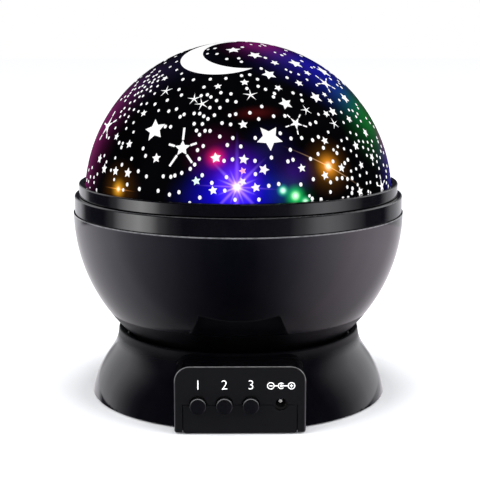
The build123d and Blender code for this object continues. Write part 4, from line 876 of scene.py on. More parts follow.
class NIGHTLIGHT_OT_sky_windows(bpy.types.Operator):
    """Make the clear windows in the print: stars, dots and the crescent moon"""

    bl_idname = "nightlight.sky_windows"
    bl_label = "Stars and moon"

    def execute(self, context):
        settings = context.scene.nightlight_sky
        paint = make_window_light(settings)
        stars = grow("star_windows", star_seed(settings.dot_radius), make_window_layout(), paint, {
            "Dome Radius": DOME_RADIUS,
            "Window Height": settings.window_height + WINDOW_SINK,
            "Dot Radius": settings.dot_radius,
            "Dot Spacing": settings.dot_spacing,
            "Dot Density": settings.dot_density,
            "Seed": settings.dot_seed,
        })
        moon = self.crescent(settings, paint)
        for piece in (stars, moon):
            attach(piece, "dome")
        return {"FINISHED"}

    def crescent(self, settings, paint):
        """The crescent as a finely divided plate lying on the dome."""
        frame_of_moon = sky_frame(*MOON_PLACE)
        bite = sky_frame(*BITE_PLACE)[2] * DOME_RADIUS
        across, up = bite.dot(frame_of_moon[0]), bite.dot(frame_of_moon[1])
        shift, tilt = hypot(across, up), atan2(up, across)
        meet = (shift ** 2 + MOON_RADIUS ** 2 - BITE_RADIUS ** 2) / (2 * shift)
        half = sqrt(MOON_RADIUS ** 2 - meet ** 2)
        wide_start, bite_start = atan2(half, meet), atan2(half, meet - shift)
        build = bmesh.new()
        sheets = []
        for radius in (DOME_RADIUS, DOME_RADIUS - settings.window_height - WINDOW_SINK):
            rows = []
            for step in range(MOON_STEPS + 1):
                share = step / MOON_STEPS
                wide = wide_start + share * 2 * (pi - wide_start)
                near = bite_start + share * 2 * (pi - bite_start)
                outer = Vector((MOON_RADIUS * cos(wide), MOON_RADIUS * sin(wide)))
                inner = Vector((shift + BITE_RADIUS * cos(near), BITE_RADIUS * sin(near)))
                drawn = (outer.lerp(inner, strip / MOON_STRIPS) for strip in range(MOON_STRIPS + 1))
                places = (self.on_dome(flat, tilt, radius, frame_of_moon) for flat in drawn)
                rows.append([build.verts.new(place) for place in places])
            sheets.append(rows)
        for rows in sheets:
            for row, following in zip(rows, rows[1:]):
                bridge(build, row, following, closed=False)
        for edge in (0, MOON_STRIPS):
            bridge(build, *([row[edge] for row in rows] for rows in sheets), closed=False)
        return close_mesh("moon_window", build, paint)

    def on_dome(self, flat, tilt, radius, frame_of_moon):
        """A point of the flat drawing laid on a sphere about the dome's centre."""
        level, rising, facing = frame_of_moon
        across = flat.x * cos(tilt) - flat.y * sin(tilt)
        up = flat.x * sin(tilt) + flat.y * cos(tilt)
        out = sqrt(DOME_RADIUS ** 2 - across ** 2 - up ** 2)
        direction = (level * across + rising * up + facing * out).normalized()
        return DOME_CENTRE + direction * radius


# ---- housing, works and hardware finishes --------------------------------------------------------

# Where the black gloss differs, in millimetres from an edge, a top or a radius: the housing's
# front and its sides, the highlights painted on its front edge and on the lips of bowl and rim,
# and the neck, dulled as painted shade.
FRONT_DEPTH = 0.2
SIDES_FADE = (0.7, 0.9)
EDGE_RISE, EDGE_FALL = (0.16, 0.26), (0.42, 0.52)
EDGE_UPPER = (-6.5, -5.0)
LIP_RISE, LIP_WIDTH, LIP_SHARE = (-0.55, -0.40), 0.3, 0.8
RIM_RISE, RIM_WIDTH, RIM_SHARE = (-0.35, -0.15), 0.6, 0.25
OVER_TOP = 0.05
NECK_RISE, NECK_FALL = (-6.0, -2.5), (7.4, 8.2)
NECK_INNER, NECK_OUTER = (-8, -7), (4.5, 5.5)
# Roughness and IOR of the neck, lowered as painted shade.
NECK_ROUGHNESS, NECK_IOR = 0.40, 1.22
# Pale grey painted along the edges as a highlight.
EDGE_HIGHLIGHT_GREY = (0.150, 0.150, 0.155, 1.0)
FRONT_BLACK = (0.0050, 0.0050, 0.0052, 1.0)


def make_gloss_black(settings):
    """Polished black moulding: faint smears, satin front, edges painted pale as highlights, and a
    neck dulled as painted shade.
    """
    finish = Finish("gloss_black")
    smears = finish.noise(finish.place, 38, detail=5.0, roughness=0.6)
    peel = finish.noise(finish.place, 420, detail=1.0)
    spark = finish.noise(finish.place, 5200, detail=3.0, roughness=0.7)
    highlight_breakup = finish.spread(finish.noise(finish.place, 700, detail=3.0), 0.35, 0.60, 0.55, 1.0)
    across, depth, height = (finish.axis(name) for name in "XYZ")
    radius = finish.maths("SQRT", across * across + depth * depth)
    housing = finish.maths("LESS_THAN", height, BASE_TOP)
    front = housing * finish.maths("LESS_THAN", depth, HOUSING_FACE + FRONT_DEPTH * MM)
    sides = housing * finish.fade(depth, HOUSING_FACE, SIDES_FADE, 1.0, 0.0)
    satin = finish.maths("MAXIMUM", front, sides)
    # Painted highlights: edges painted paler, broken up by noise, each between two smooth limits.
    upper = finish.fade(height, HOUSING_TOP, EDGE_UPPER, 0.04, 1.0)
    painted_edge_highlight = housing * finish.band(depth, HOUSING_FACE, EDGE_RISE, EDGE_FALL) * upper
    for top, widest, rise, width, share in (
        (BOWL_LIP, BOWL_WIDEST, LIP_RISE, LIP_WIDTH, LIP_SHARE),
        (RIM_TOP, RIM_WIDEST, RIM_RISE, RIM_WIDTH, RIM_SHARE),
    ):
        edge = finish.fade(height, top, rise)
        edge = edge * finish.maths("LESS_THAN", height, top + OVER_TOP * MM)
        edge = edge * finish.maths("GREATER_THAN", radius, widest - width * MM)
        painted_edge_highlight = painted_edge_highlight + edge * share
    painted_edge_highlight = painted_edge_highlight * highlight_breakup
    # Painted shade: where the bowl's neck turns in the collar of the base, both are made rougher and
    # less reflective, standing for the shade between them.
    neck_dulled_for_shade = finish.band(height, COLLAR_TOP, NECK_RISE, NECK_FALL)
    neck_dulled_for_shade = neck_dulled_for_shade * finish.band(radius, COLLAR_RADIUS, NECK_INNER, NECK_OUTER)
    polish = finish.spread(smears, 0.35, 0.7, settings.gloss, settings.gloss + 0.03)
    tone = finish.ramp(smears, ((0.4, (0.0008, 0.0008, 0.0013)), (0.65, (0.0018, 0.0018, 0.0023))))
    tone = finish.mix(front, tone, FRONT_BLACK)
    relief = peel * (1 - satin) + spark * satin * 0.35
    inputs = {
        "Base Color": finish.mix(painted_edge_highlight, tone, EDGE_HIGHLIGHT_GREY),
        "Roughness": polish + satin * 0.24,
        "Normal": finish.bump(relief, 0.05, 0.00004),
    }
    glossy = finish.node("ShaderNodeBsdfPrincipled", inputs)
    inputs = {**inputs, "Roughness": NECK_ROUGHNESS, "IOR": NECK_IOR}
    dull = finish.node("ShaderNodeBsdfPrincipled", inputs)
    both = finish.node("ShaderNodeMixShader", {0: neck_dulled_for_shade, 1: glossy, 2: dull})
    finish.node("ShaderNodeOutputMaterial", {"Surface": both})
    return finish.material


# Painted highlight on the upper edge of the buttons, in millimetres from their radius, their tip and
# their middle.
CAP_RISE, CAP_FALL = (-0.32, -0.18), (0.1, 0.2)
CAP_DEPTH = (0.35, 0.50)
CAP_UPPER = (0.4, 2.0)
CAP_BLACK = (0.0028, 0.0028, 0.0032, 1.0)
CAP_EDGE_HIGHLIGHT = (0.110, 0.110, 0.115, 1.0)


def make_satin_black(settings):
    """Spark-textured black plastic of the underside and the door, smoother on the buttons' ends,
    whose upper edges carry a painted highlight.
    """
    finish = Finish("satin_black")
    spark = finish.noise(finish.place, 3800, detail=4.0, roughness=0.7)
    wear = finish.noise(finish.place, 60, detail=4.0)
    cap = finish.maths("LESS_THAN", finish.axis("Y"), HOUSING_FACE)
    tone = finish.ramp(wear, ((0.4, (0.0055, 0.0055, 0.0062)), (0.7, (0.0090, 0.0090, 0.0098))))
    tone = finish.mix(cap, tone, CAP_BLACK)
    # The upper edge of each button's end is painted paler, as a highlight.
    across, rise = finish.axis("X"), finish.axis("Z") - node_middle(BUTTONS[0], 2)
    edges = []
    for button in BUTTONS:
        aside = across - node_middle(button, 0)
        radius = finish.maths("SQRT", aside * aside + rise * rise)
        edges.append(finish.band(radius, BUTTON_RADIUS, CAP_RISE, CAP_FALL))
    end = finish.fade(finish.axis("Y"), node_low(BUTTONS[0]).y, CAP_DEPTH, 1.0, 0.0)
    painted_edge_highlight = sum(edges[1:], edges[0]) * end * finish.fade(rise, 0, CAP_UPPER)
    dull = finish.spread(wear, 0.3, 0.7, settings.satin, settings.satin + 0.10)
    return finish.surface({
        "Base Color": finish.mix(painted_edge_highlight, tone, CAP_EDGE_HIGHLIGHT),
        "Roughness": dull - cap * 0.2,
        "Normal": finish.bump(spark * (1 - cap * 0.7), 0.22, 0.00006),
    })


def make_rubber():
    """Soft black rubber of the feet, dusty in patches."""
    finish = Finish("foot_rubber")
    grain = finish.noise(finish.place, 1800, detail=3.0)
    dust = finish.noise(finish.place, 220, detail=3.0)
    tones = ((0.45, (0.011, 0.011, 0.011)), (0.75, (0.030, 0.029, 0.028)))
    return finish.surface({
        "Base Color": finish.ramp(dust, tones),
        "Roughness": finish.spread(dust, 0.3, 0.7, 0.72, 0.90),
        "Normal": finish.bump(grain, 0.30, 0.00008),
    })


def make_metal(name, colour, darker, roughness, streaks, metallic=1.0):
    """Machined metal: streaks across one axis, darker patches and a fine bump."""
    finish = Finish(name)
    stretch = finish.vector("MULTIPLY", finish.place, streaks)
    lines = finish.noise(stretch, 1, detail=3.0, roughness=0.7)
    patches = finish.noise(finish.place, 160, detail=3.0)
    tone = finish.ramp(patches, ((0.35, darker), (0.65, colour)))
    return finish.surface({
        "Base Color": tone,
        "Metallic": metallic,
        "Roughness": finish.spread(lines, 0.3, 0.7, roughness, roughness + 0.14),
        "Normal": finish.bump(lines, 0.12, 0.00003),
    })


TRACK_PITCH = 1.27 * MM


def make_circuit_board(name, mask, track, solder):
    """Circuit board: solder mask over a maze of tracks, with small tinned pads."""
    finish = Finish(name)
    grid = finish.vector("SNAP", finish.place, (TRACK_PITCH,) * 3)
    turns = finish.noise(grid, 900, detail=0.0)
    inputs = {"Vector": finish.place, "Scale": 190, "Distortion": 0.0}
    lines = finish.node(
        "ShaderNodeTexWave", inputs, wave_type="BANDS", bands_direction="DIAGONAL",
    )
    tracks = finish.spread(lines, 0.72, 0.78) * finish.spread(turns, 0.47, 0.50)
    cells = finish.node("ShaderNodeTexVoronoi", {"Vector": finish.place, "Scale": 230})
    pads = finish.maths("LESS_THAN", cells, 0.16) * finish.spread(turns, 0.56, 0.58)
    board = finish.mix(tracks, (*mask, 1.0), (*track, 1.0))
    return finish.surface({
        "Base Color": finish.mix(pads, board, (*solder, 1.0)),
        "Metallic": pads * 0.9,
        "Roughness": 0.34 - pads * 0.08 + tracks * 0.05,
        "Normal": finish.bump(tracks * 0.5 + pads, 0.4, 0.00004),
    })


def make_moulded(name, colour, darker, roughness, glow=None):
    """Plain moulded plastic: flow marks, a little colour drift and a fine skin."""
    finish = Finish(name)
    flow = finish.noise(finish.vector("MULTIPLY", finish.place, (1.0, 1.0, 0.25)), 130, detail=4.0)
    skin = finish.noise(finish.place, 2600, detail=2.0)
    inputs = {
        "Base Color": finish.ramp(flow, ((0.35, darker), (0.65, colour))),
        "Roughness": finish.spread(flow, 0.3, 0.7, roughness, roughness + 0.12),
        "Normal": finish.bump(skin, 0.10, 0.00004),
    }
    if glow:
        core = finish.spread(flow, 0.2, 0.8, 0.55, 1.0)
        inputs["Emission Color"] = finish.vector("SCALE", glow, scale=core)
        inputs["Emission Strength"] = 1.0
    return finish.surface(inputs)


class NIGHTLIGHT_OT_outer_finishes(bpy.types.Operator):
    """Finish the parts that show: bowl, rings, flared base, cover, door, feet and buttons"""

    bl_idname = "nightlight.outer_finishes"
    bl_label = "Outer finishes"

    def execute(self, context):
        settings = context.scene.nightlight_shell
        paint_slots({
            "black_gloss": make_gloss_black(settings),
            "black_satin": make_satin_black(settings),
            "rubber_black": make_rubber(),
        })
        return {"FINISHED"}


SOLDER = (0.70, 0.68, 0.62)
# Circuit boards: slot, name, mask, track, solder.
BOARDS = (
    ("board_green", "board_green_mask", (0.006, 0.085, 0.022), (0.016, 0.170, 0.045), SOLDER),
    ("board_white", "board_white_mask", (0.78, 0.78, 0.76), (0.68, 0.68, 0.66), SOLDER),
)
# Metals: slot, name, colour, darker colour, roughness, streaks and, of plating, how metallic.
METALS = (
    (
        "contact_steel", "contact_nickel",
        (0.62, 0.60, 0.56), (0.48, 0.46, 0.43), 0.22, (900, 900, 120),
    ),
    ("screw_steel", "screw_zinc", (0.52, 0.52, 0.53), (0.36, 0.36, 0.38), 0.28, (700, 700, 700)),
    ("shaft_steel", "shaft_ground", (0.62, 0.62, 0.63), (0.50, 0.50, 0.51), 0.18, (300, 300, 2500)),
    (
        "plate_steel", "plate_pressed",
        (0.55, 0.55, 0.54), (0.42, 0.42, 0.42), 0.30, (1500, 150, 150),
    ),
    ("motor_steel", "motor_drawn", (0.58, 0.58, 0.57), (0.44, 0.44, 0.44), 0.26, (220, 220, 1800)),
    # The inlet's pin: plated metal, made pale and little metallic so that its tip shows a painted
    # highlight.
    (
        "pin_brass", "pin_plated",
        (0.92, 0.91, 0.88), (0.84, 0.82, 0.78), 0.40, (1200, 200, 1200), 0.2,
    ),
)
# Mouldings: slot, name, colour, darker colour, roughness and, of a lamp, its glow.
MOULDINGS = (
    ("switch_black", "switch_nylon", (0.018, 0.018, 0.019), (0.010, 0.010, 0.010), 0.42),
    ("gear_white", "gear_acetal", (0.80, 0.79, 0.75), (0.70, 0.69, 0.64), 0.36),
    ("gearbox_white", "gearbox_acetal", (0.74, 0.73, 0.68), (0.62, 0.61, 0.56), 0.44),
    ("lamp_white", "lens_white", (0.90, 0.88, 0.80), (0.82, 0.80, 0.72), 0.10, (1.0, 0.94, 0.78)),
    ("lamp_red", "lens_red", (0.80, 0.03, 0.03), (0.60, 0.01, 0.02), 0.10, (1.0, 0.02, 0.04)),
    ("lamp_blue", "lens_blue", (0.04, 0.08, 0.85), (0.02, 0.04, 0.60), 0.10, (0.06, 0.05, 1.0)),
    ("lamp_green", "lens_green", (0.04, 0.70, 0.12), (0.02, 0.50, 0.06), 0.10, (0.03, 1.0, 0.18)),
    ("lead_red", "sleeve_red", (0.45, 0.012, 0.012), (0.34, 0.008, 0.008), 0.40),
    ("lead_grey", "sleeve_grey", (0.30, 0.30, 0.31), (0.22, 0.22, 0.23), 0.42),
)


class NIGHTLIGHT_OT_works_finishes(bpy.types.Operator):
    """Finish the works inside: boards, lamps, motor, gears, contacts, leads and fasteners"""

    bl_idname = "nightlight.works_finishes"
    bl_label = "Works finishes"

    def execute(self, context):
        makers = ((make_circuit_board, BOARDS), (make_metal, METALS), (make_moulded, MOULDINGS))
        paint_slots({slot: make(*rest) for make, rows in makers for slot, *rest in rows})
        return {"FINISHED"}


def paint_slots(paints):
    """Gives each node of the frame the finish of the material slot it was packed with."""
    done = set()
    for node in NODES.values():
        for place in node.material_slots:
            slot = SLOT_OF_NODE[node.name]
            if slot in paints:
                place.material = paints[slot]
                done.add(slot)
    if done != set(paints):
        raise RuntimeError(f"no node has the finish of {sorted(set(paints) - done)}")


# ---- screws of the bottom cover ------------------------------------------------------------------


def screw_centres(node):
    """Middle in X and Y and radius of each of a node's four screws, one in each quarter."""
    centres = []
    for side in (1, -1):
        for end in (1, -1):
            corners = [
                vertex.co for vertex in NODES[node].data.vertices
                if vertex.co.x * side > 0 and vertex.co.y * end > 0
            ]
            if not corners:
                raise RuntimeError(node + " has no screw in one of its quarters")
            low, high = (
                Vector([limit(corner[axis] for corner in corners) for axis in range(2)])
                for limit in (min, max)
            )
            centres.append(((low + high) / 2, (high.x - low.x) / 2))
    return centres


SCREW_SIDES = 32
# How far each screw is turned past the one before it, in radians.
SCREW_TURN = 0.7
# The screw's head: share of its radius and share of its height below the seat, level by level.
HEAD_LEVELS = ((1.0, 0.0), (1.0, -0.45), (0.93, -0.78), (0.78, -1.0))
# The cross recess: half its width and its reach in head radii, its depth in head heights, and how
# much narrower it is at its floor.
RECESS_HALF, RECESS_REACH, RECESS_DEPTH, RECESS_FLOOR = 0.17, 0.58, 0.72, 0.72


def make_screw_shape(radius, head, shank_radius, length):
    """Cross-recess pan head below the seat and its shank above, with the seat at Z zero."""
    build = bmesh.new()
    angles = [2 * pi * side / SCREW_SIDES for side in range(SCREW_SIDES)]
    crown = [(cos(angle), sin(angle)) for angle in angles]
    half, reach = RECESS_HALF, RECESS_REACH
    cross = []
    for quarter in range(4):
        turn = Matrix.Rotation(quarter * pi / 2, 2)
        cross += [turn @ Vector(corner) for corner in ((reach, -half), (reach, half), (half, half))]

    def ring(corners, size, z):
        return [build.verts.new((x * size, y * size, z)) for x, y in corners]

    rims = [ring(crown, radius * share, head * level) for share, level in HEAD_LEVELS]
    mouth = ring(cross, radius, -head)
    floor = ring(cross, radius * RECESS_FLOOR, head * (RECESS_DEPTH - 1))
    foot, end = (ring(crown, shank_radius, z) for z in (0.0, length))
    for pair in (*zip(rims, rims[1:]), (mouth, floor), (rims[0], foot), (foot, end)):
        bridge(build, *pair)
    build.faces.new(floor)
    build.faces.new(end)
    # The flat of the head between its edge and the recess, a quarter at a time.
    span, brim = SCREW_SIDES // 4, rims[-1]
    for quarter in range(4):
        first, start = 3 * quarter, quarter * span
        inner = [brim[(start + side) % SCREW_SIDES] for side in range(1, span)]
        corners = mouth[first + 1], mouth[first + 2], mouth[(first + 3) % len(mouth)]
        build.faces.new([*corners, *reversed(inner)])
        middle = [brim[(start + side) % SCREW_SIDES] for side in (-1, 0, 1)]
        build.faces.new([mouth[first], *middle, mouth[first + 1]])
    return mesh_of("screw_shape", build)


class NIGHTLIGHT_OT_cover_screws(bpy.types.Operator):
    """Make the cross-recess screws that hold the bottom cover"""

    bl_idname = "nightlight.cover_screws"
    bl_label = "Cover screws"

    def execute(self, context):
        settings = context.scene.nightlight_shell
        places = screw_centres("cover_screws")
        low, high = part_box("cover_screws")
        seat = low.z + settings.screw_head
        head, shank = settings.screw_head, settings.screw_shank
        shape = make_screw_shape(places[0][1], head, shank, high.z - seat)
        carrier = bpy.data.objects.new("screw_carrier", shape)
        bpy.context.collection.objects.link(carrier)
        points = bpy.data.meshes.new("screw_places")
        points.from_pydata([(centre.x, centre.y, seat) for centre, _ in places], [], [])
        tree = Layout("screw_set", (("Screw", "Object"), ("Turn Step", "Float")))
        given = tree.node("GeometryNodeObjectInfo", {"Object": tree.given("Screw")})
        screw = given.other("Geometry")
        turn = tree.node("GeometryNodeInputIndex") * tree.given("Turn Step")
        tree.leave(tree.node("GeometryNodeInstanceOnPoints", {
            "Points": tree.seed_points(), "Instance": screw,
            "Rotation": tree.node("ShaderNodeCombineXYZ", {2: turn}),
        }))
        paint = NODES["board_screws"].material_slots[0].material
        inputs = {"Screw": carrier, "Turn Step": SCREW_TURN}
        piece = grow("cross_screws", points, tree, paint, inputs)
        bpy.data.objects.remove(carrier)
        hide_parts("cover_screws")
        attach(piece, "base")
        return {"FINISHED"}


# ---- printing beside the buttons -----------------------------------------------------------------


# How far the printing stands out of the housing's front and how far it reaches into it.
LABEL_PROUD = 0.05 * MM
LABEL_SINK = 0.05 * MM
LABEL_FRONT, LABEL_BACK = HOUSING_FACE - LABEL_PROUD, HOUSING_FACE + LABEL_SINK
# Thickness of the flat figures before they are scaled, and how much thinner their strokes are.
FIGURE_EXTRUDE, FIGURE_OFFSET = 0.01, -0.014


def make_label_ink():
    """White pad-printed ink, a little thin in places, with a faint painted glow that brightens it.
    """
    finish = Finish("label_ink")
    cover = finish.noise(finish.place, 2200, detail=3.0)
    whites = ((0.25, (0.62, 0.62, 0.63)), (0.5, (0.90, 0.90, 0.90)))
    # Painted glow of the ink, though it is no lamp.
    lights = ((0.25, (0.20, 0.20, 0.20)), (0.5, (0.38, 0.38, 0.38)))
    return finish.surface({
        "Base Color": finish.ramp(cover, whites),
        "Roughness": 0.45,
        "Emission Color": finish.ramp(cover, lights),
        "Emission Strength": 1.0,
        "Normal": finish.bump(cover, 0.15, 0.00003),
    })


def face_place(mesh, x, z, height):
    """Scales flat printing to a height and stands it on the housing's front."""
    low, high = (
        Vector([limit(vertex.co[axis] for vertex in mesh.vertices) for axis in range(3)])
        for limit in (min, max)
    )
    size = height / (high.y - low.y)
    middle = (low + high) / 2
    for vertex in mesh.vertices:
        flat = (vertex.co - middle) * size
        depth = LABEL_FRONT if vertex.co.z > middle.z else LABEL_BACK
        vertex.co = Vector((x + flat.x, depth, z + flat.y))


def make_digit(text, x, z, height, paint):
    """One printed figure above its button."""
    curve = bpy.data.curves.new("figure_" + text, "FONT")
    curve.body = text
    curve.extrude = FIGURE_EXTRUDE
    curve.offset = FIGURE_OFFSET
    source = bpy.data.objects.new("figure_source", curve)
    bpy.context.collection.objects.link(source)
    graph = bpy.context.evaluated_depsgraph_get()
    mesh = bpy.data.meshes.new_from_object(source.evaluated_get(graph), depsgraph=graph)
    bpy.data.objects.remove(source)
    face_place(mesh, x, z, height)
    build = bmesh.new()
    build.from_mesh(mesh)
    return close_mesh("figure_" + text, build, paint)


def flat_ring(build, x, z, outer, inner, steps, start=0, end=2 * pi):
    """Ring or part of one, as a thin closed band on the housing's front."""
    angles = [start + (end - start) * step / steps for step in range(steps + 1)]
    loops = [
        [build.verts.new((x + radius * cos(angle), y, z + radius * sin(angle))) for angle in angles]
        for radius, y in (
            (outer, LABEL_FRONT), (inner, LABEL_FRONT), (inner, LABEL_BACK), (outer, LABEL_BACK),
        )
    ]
    for loop, following in zip(loops, loops[1:] + loops[:1]):
        bridge(build, loop, following, closed=False)
    if end - start < 2 * pi:
        for stop in (0, -1):
            build.faces.new([loop[stop] for loop in loops])


def flat_bar(build, x, z, width, height):
    """Thin closed bar on the housing's front."""
    corners = ((-1, -1), (1, -1), (1, 1), (-1, 1))
    front, back = (
        [build.verts.new((x + a * width / 2, y, z + b * height / 2)) for a, b in corners]
        for y in (LABEL_FRONT, LABEL_BACK)
    )
    build.faces.new(front)
    build.faces.new(back)
    bridge(build, front, back)


# The polarity mark: radii of its circles, of the plug's open ring and of its pin, length of the
# signs in the circles, width of every line, and the angles at which the plug's ring is open.
MARK_CIRCLE, MARK_PLUG, MARK_PIN = 1.35 * MM, 1.2 * MM, 0.50 * MM
MARK_SIGN, MARK_LINE = 1.3 * MM, 0.30 * MM
MARK_OPENING = (radians(40), radians(320))
# A pin is a ring with hardly any hole, which its line reaches into.
PIN_HOLE, PIN_EDGE = 0.01 * MM, 0.3 * MM


class NIGHTLIGHT_OT_face_print(bpy.types.Operator):
    """Print the button figures and the polarity mark on the control housing"""

    bl_idname = "nightlight.face_print"
    bl_label = "Figures and polarity mark"

    def execute(self, context):
        settings = context.scene.nightlight_shell
        paint = make_label_ink()
        level, size = settings.figure_height, settings.figure_size
        pieces = [
            make_digit(button[-1], node_middle(button, 0), level, size, paint) for button in BUTTONS
        ]
        pieces.append(self.polarity_mark(settings, paint))
        for piece in pieces:
            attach(piece, "base")
        return {"FINISHED"}

    def polarity_mark(self, settings, paint):
        """Outer contact negative, centre contact positive, joined by the plug sign."""
        x, z = node_middle("jack_body", 0), settings.polarity_height
        end = settings.polarity_width / 2
        aside, reach = end - MARK_CIRCLE, end - 2 * MARK_CIRCLE
        build = bmesh.new()
        for side in (-1, 1):
            flat_ring(build, x + side * aside, z, MARK_CIRCLE, MARK_CIRCLE - MARK_LINE, 28)
            flat_bar(build, x + side * aside, z, MARK_SIGN, MARK_LINE)
        flat_bar(build, x + aside, z, MARK_LINE, MARK_SIGN)
        flat_ring(build, x, z, MARK_PLUG, MARK_PLUG - MARK_LINE, 24, *MARK_OPENING)
        flat_ring(build, x, z, MARK_PIN, PIN_HOLE, 16)
        flat_bar(build, x - (MARK_PLUG + reach) / 2, z, reach - MARK_PLUG, MARK_LINE)
        flat_bar(build, x + (PIN_EDGE + reach) / 2, z, reach - PIN_EDGE, MARK_LINE)
        return close_mesh("polarity_mark", build, paint)


# ---- stage ---------------------------------------------------------------------------------------


# The room that the gloss mirrors, by height (the sine of the angle above level): where its far
# side fades and what is left of it, where the roof begins, and the edges of the windows' strip.
ROOM_FADE, ROOM_LEFT = (0.55, 0.80), 0.05
ROOF_EDGE = (0.86, 0.95)
STRIP_TOP, STRIP_FOOT = (-0.135, -0.115), (-0.195, -0.188)
# Behind the object, counted as a share of the half turn from the front, it fades lower down.
BEHIND_EDGE, BEHIND_FADE, BEHIND_SHARE = (0.80, 0.87), (0.22, 0.40), 0.85
ROOF_WHITE = (1.0, 1.0, 1.03, 1.0)


def make_studio_world(settings):
    """Even light, white behind, and soft panels that the gloss mirrors."""
    world = bpy.data.worlds.new("studio")
    world.use_nodes = True
    graph = Graph(world.node_tree)
    graph.tree.nodes.clear()
    where = graph.node("ShaderNodeTexCoord", output="Generated")
    split = graph.node("ShaderNodeSeparateXYZ", {0: where})
    x, y, z = (split.other(name) for name in "XYZ")
    turn = (graph.maths("ARCTAN2", x, -y) * (180 / pi) + 180) / 360
    tables, windows, room = (
        graph.ramp(turn, [((angle + 180) / 360, colour) for angle, colour in panels])
        for panels in (TABLE_PANELS, WINDOW_PANELS, ROOM_PANELS)
    )
    depth = graph.ramp(z + 1, [(share, (level,) * 3) for share, level in TABLE_DEPTH])
    aside = abs(turn * 2 - 1)
    behind = graph.spread(aside, *BEHIND_EDGE) * graph.spread(z, *BEHIND_FADE, 0.0, BEHIND_SHARE)
    height = graph.spread(z, *ROOM_FADE, 1.0, ROOM_LEFT) * (1 - behind)
    roof = graph.spread(z, *ROOF_EDGE, 0.0, settings.roof_level).clamp()
    above = graph.mix(roof, graph.vector("SCALE", room, scale=height), ROOF_WHITE)
    below = graph.vector("MULTIPLY", tables, depth)
    level = graph.mix(graph.spread(z, *STRIP_TOP), windows, above)
    mirror = graph.mix(graph.spread(z, *STRIP_FOOT), below, level)
    path = graph.node("ShaderNodeLightPath")
    glossy = path.other("Is Glossy Ray")
    seen = path.other("Is Camera Ray")
    even = (settings.fill_level,) * 3 + (1.0,)
    colour = graph.mix(seen, graph.mix(glossy, even, mirror), (1.0, 1.0, 1.0, 1.0))
    shader = graph.node("ShaderNodeBackground", {"Color": colour, "Strength": 1.0})
    graph.node("ShaderNodeOutputWorld", {"Surface": shader})
    world.cycles.sampling_method = "NONE"
    return world


# Brightness that the gloss mirrors, by degrees from the front towards +X.
# Below the level of the rings: the pale table tops on each side.
TABLE_PANELS = (
    (-180, (0.95, 0.93, 0.96)), (-150, (1.00, 0.97, 1.02)), (-118, (1.26, 1.22, 1.34)),
    (-96, (1.24, 1.22, 1.38)), (-80, (0.78, 0.75, 0.89)), (-60, (0.46, 0.44, 0.55)),
    (-42, (0.23, 0.22, 0.30)), (-24, (0.07, 0.07, 0.12)), (-6, (0.02, 0.03, 0.06)),
    (10, (0.04, 0.04, 0.08)), (26, (0.20, 0.19, 0.27)), (42, (0.53, 0.50, 0.63)),
    (58, (1.08, 1.00, 1.18)), (72, (1.46, 1.34, 1.54)), (90, (1.84, 1.60, 1.86)),
    (110, (1.54, 1.39, 1.59)), (130, (1.02, 0.94, 1.04)), (180, (0.95, 0.93, 0.96)),
)
# Share of the table tops that is left, by the height above straight down.
TABLE_DEPTH = (
    (0.0, 0.10), (0.12, 0.20), (0.22, 0.40), (0.35, 0.60), (0.50, 0.80), (0.70, 1.0),
)
# In a narrow strip at the level of the rings: two bright windows.
WINDOW_PANELS = (
    (-180, (0.95, 0.95, 0.99)), (-143, (1.10, 1.09, 1.15)), (-132, (0.08, 0.08, 0.10)),
    (-122, (0.03, 0.03, 0.05)), (-106, (0.03, 0.03, 0.05)), (-96, (0.42, 0.42, 0.45)),
    (-84, (2.90, 2.88, 2.95)), (-72, (4.90, 4.90, 4.90)), (-63, (3.30, 3.30, 3.32)),
    (-56, (0.90, 0.89, 0.94)), (-48, (0.30, 0.30, 0.34)), (-38, (0.06, 0.06, 0.09)),
    (14, (0.03, 0.03, 0.06)), (34, (0.15, 0.15, 0.19)), (45, (0.80, 0.78, 0.85)),
    (54, (1.90, 1.88, 1.96)), (63, (2.25, 2.22, 2.30)), (72, (1.80, 1.78, 1.86)),
    (86, (0.65, 0.64, 0.70)), (98, (0.06, 0.06, 0.08)), (120, (0.02, 0.02, 0.04)),
    (131, (0.60, 0.60, 0.64)), (150, (0.85, 0.84, 0.89)), (180, (0.95, 0.95, 0.99)),
)
# Above the level of the rings: the bright far side of the room.
ROOM_PANELS = (
    (-180, (0.02, 0.02, 0.03)), (-171, (0.03, 0.03, 0.04)), (-162, (0.30, 0.30, 0.31)),
    (-150, (0.90, 0.90, 0.93)), (-134, (1.05, 1.05, 1.09)), (-120, (1.12, 1.12, 1.17)),
    (-109, (0.80, 0.79, 0.84)), (-99, (0.38, 0.38, 0.42)), (-90, (0.12, 0.12, 0.15)),
    (-82, (0.02, 0.02, 0.04)), (73, (0.02, 0.02, 0.04)), (82, (0.10, 0.10, 0.13)),
    (90, (0.28, 0.28, 0.31)), (99, (0.58, 0.57, 0.62)), (109, (0.88, 0.87, 0.92)),
    (120, (1.20, 1.19, 1.25)), (134, (1.15, 1.15, 1.19)), (150, (0.95, 0.95, 0.98)),
    (162, (0.30, 0.30, 0.31)), (171, (0.03, 0.03, 0.04)), (180, (0.02, 0.02, 0.03)),
)


# Share of the shadow's reach within which the floor has none of its own white.
SHADOW_WHOLE = 0.68
FLOOR_LIGHT = (0.985, 0.990, 1.0, 1.0)


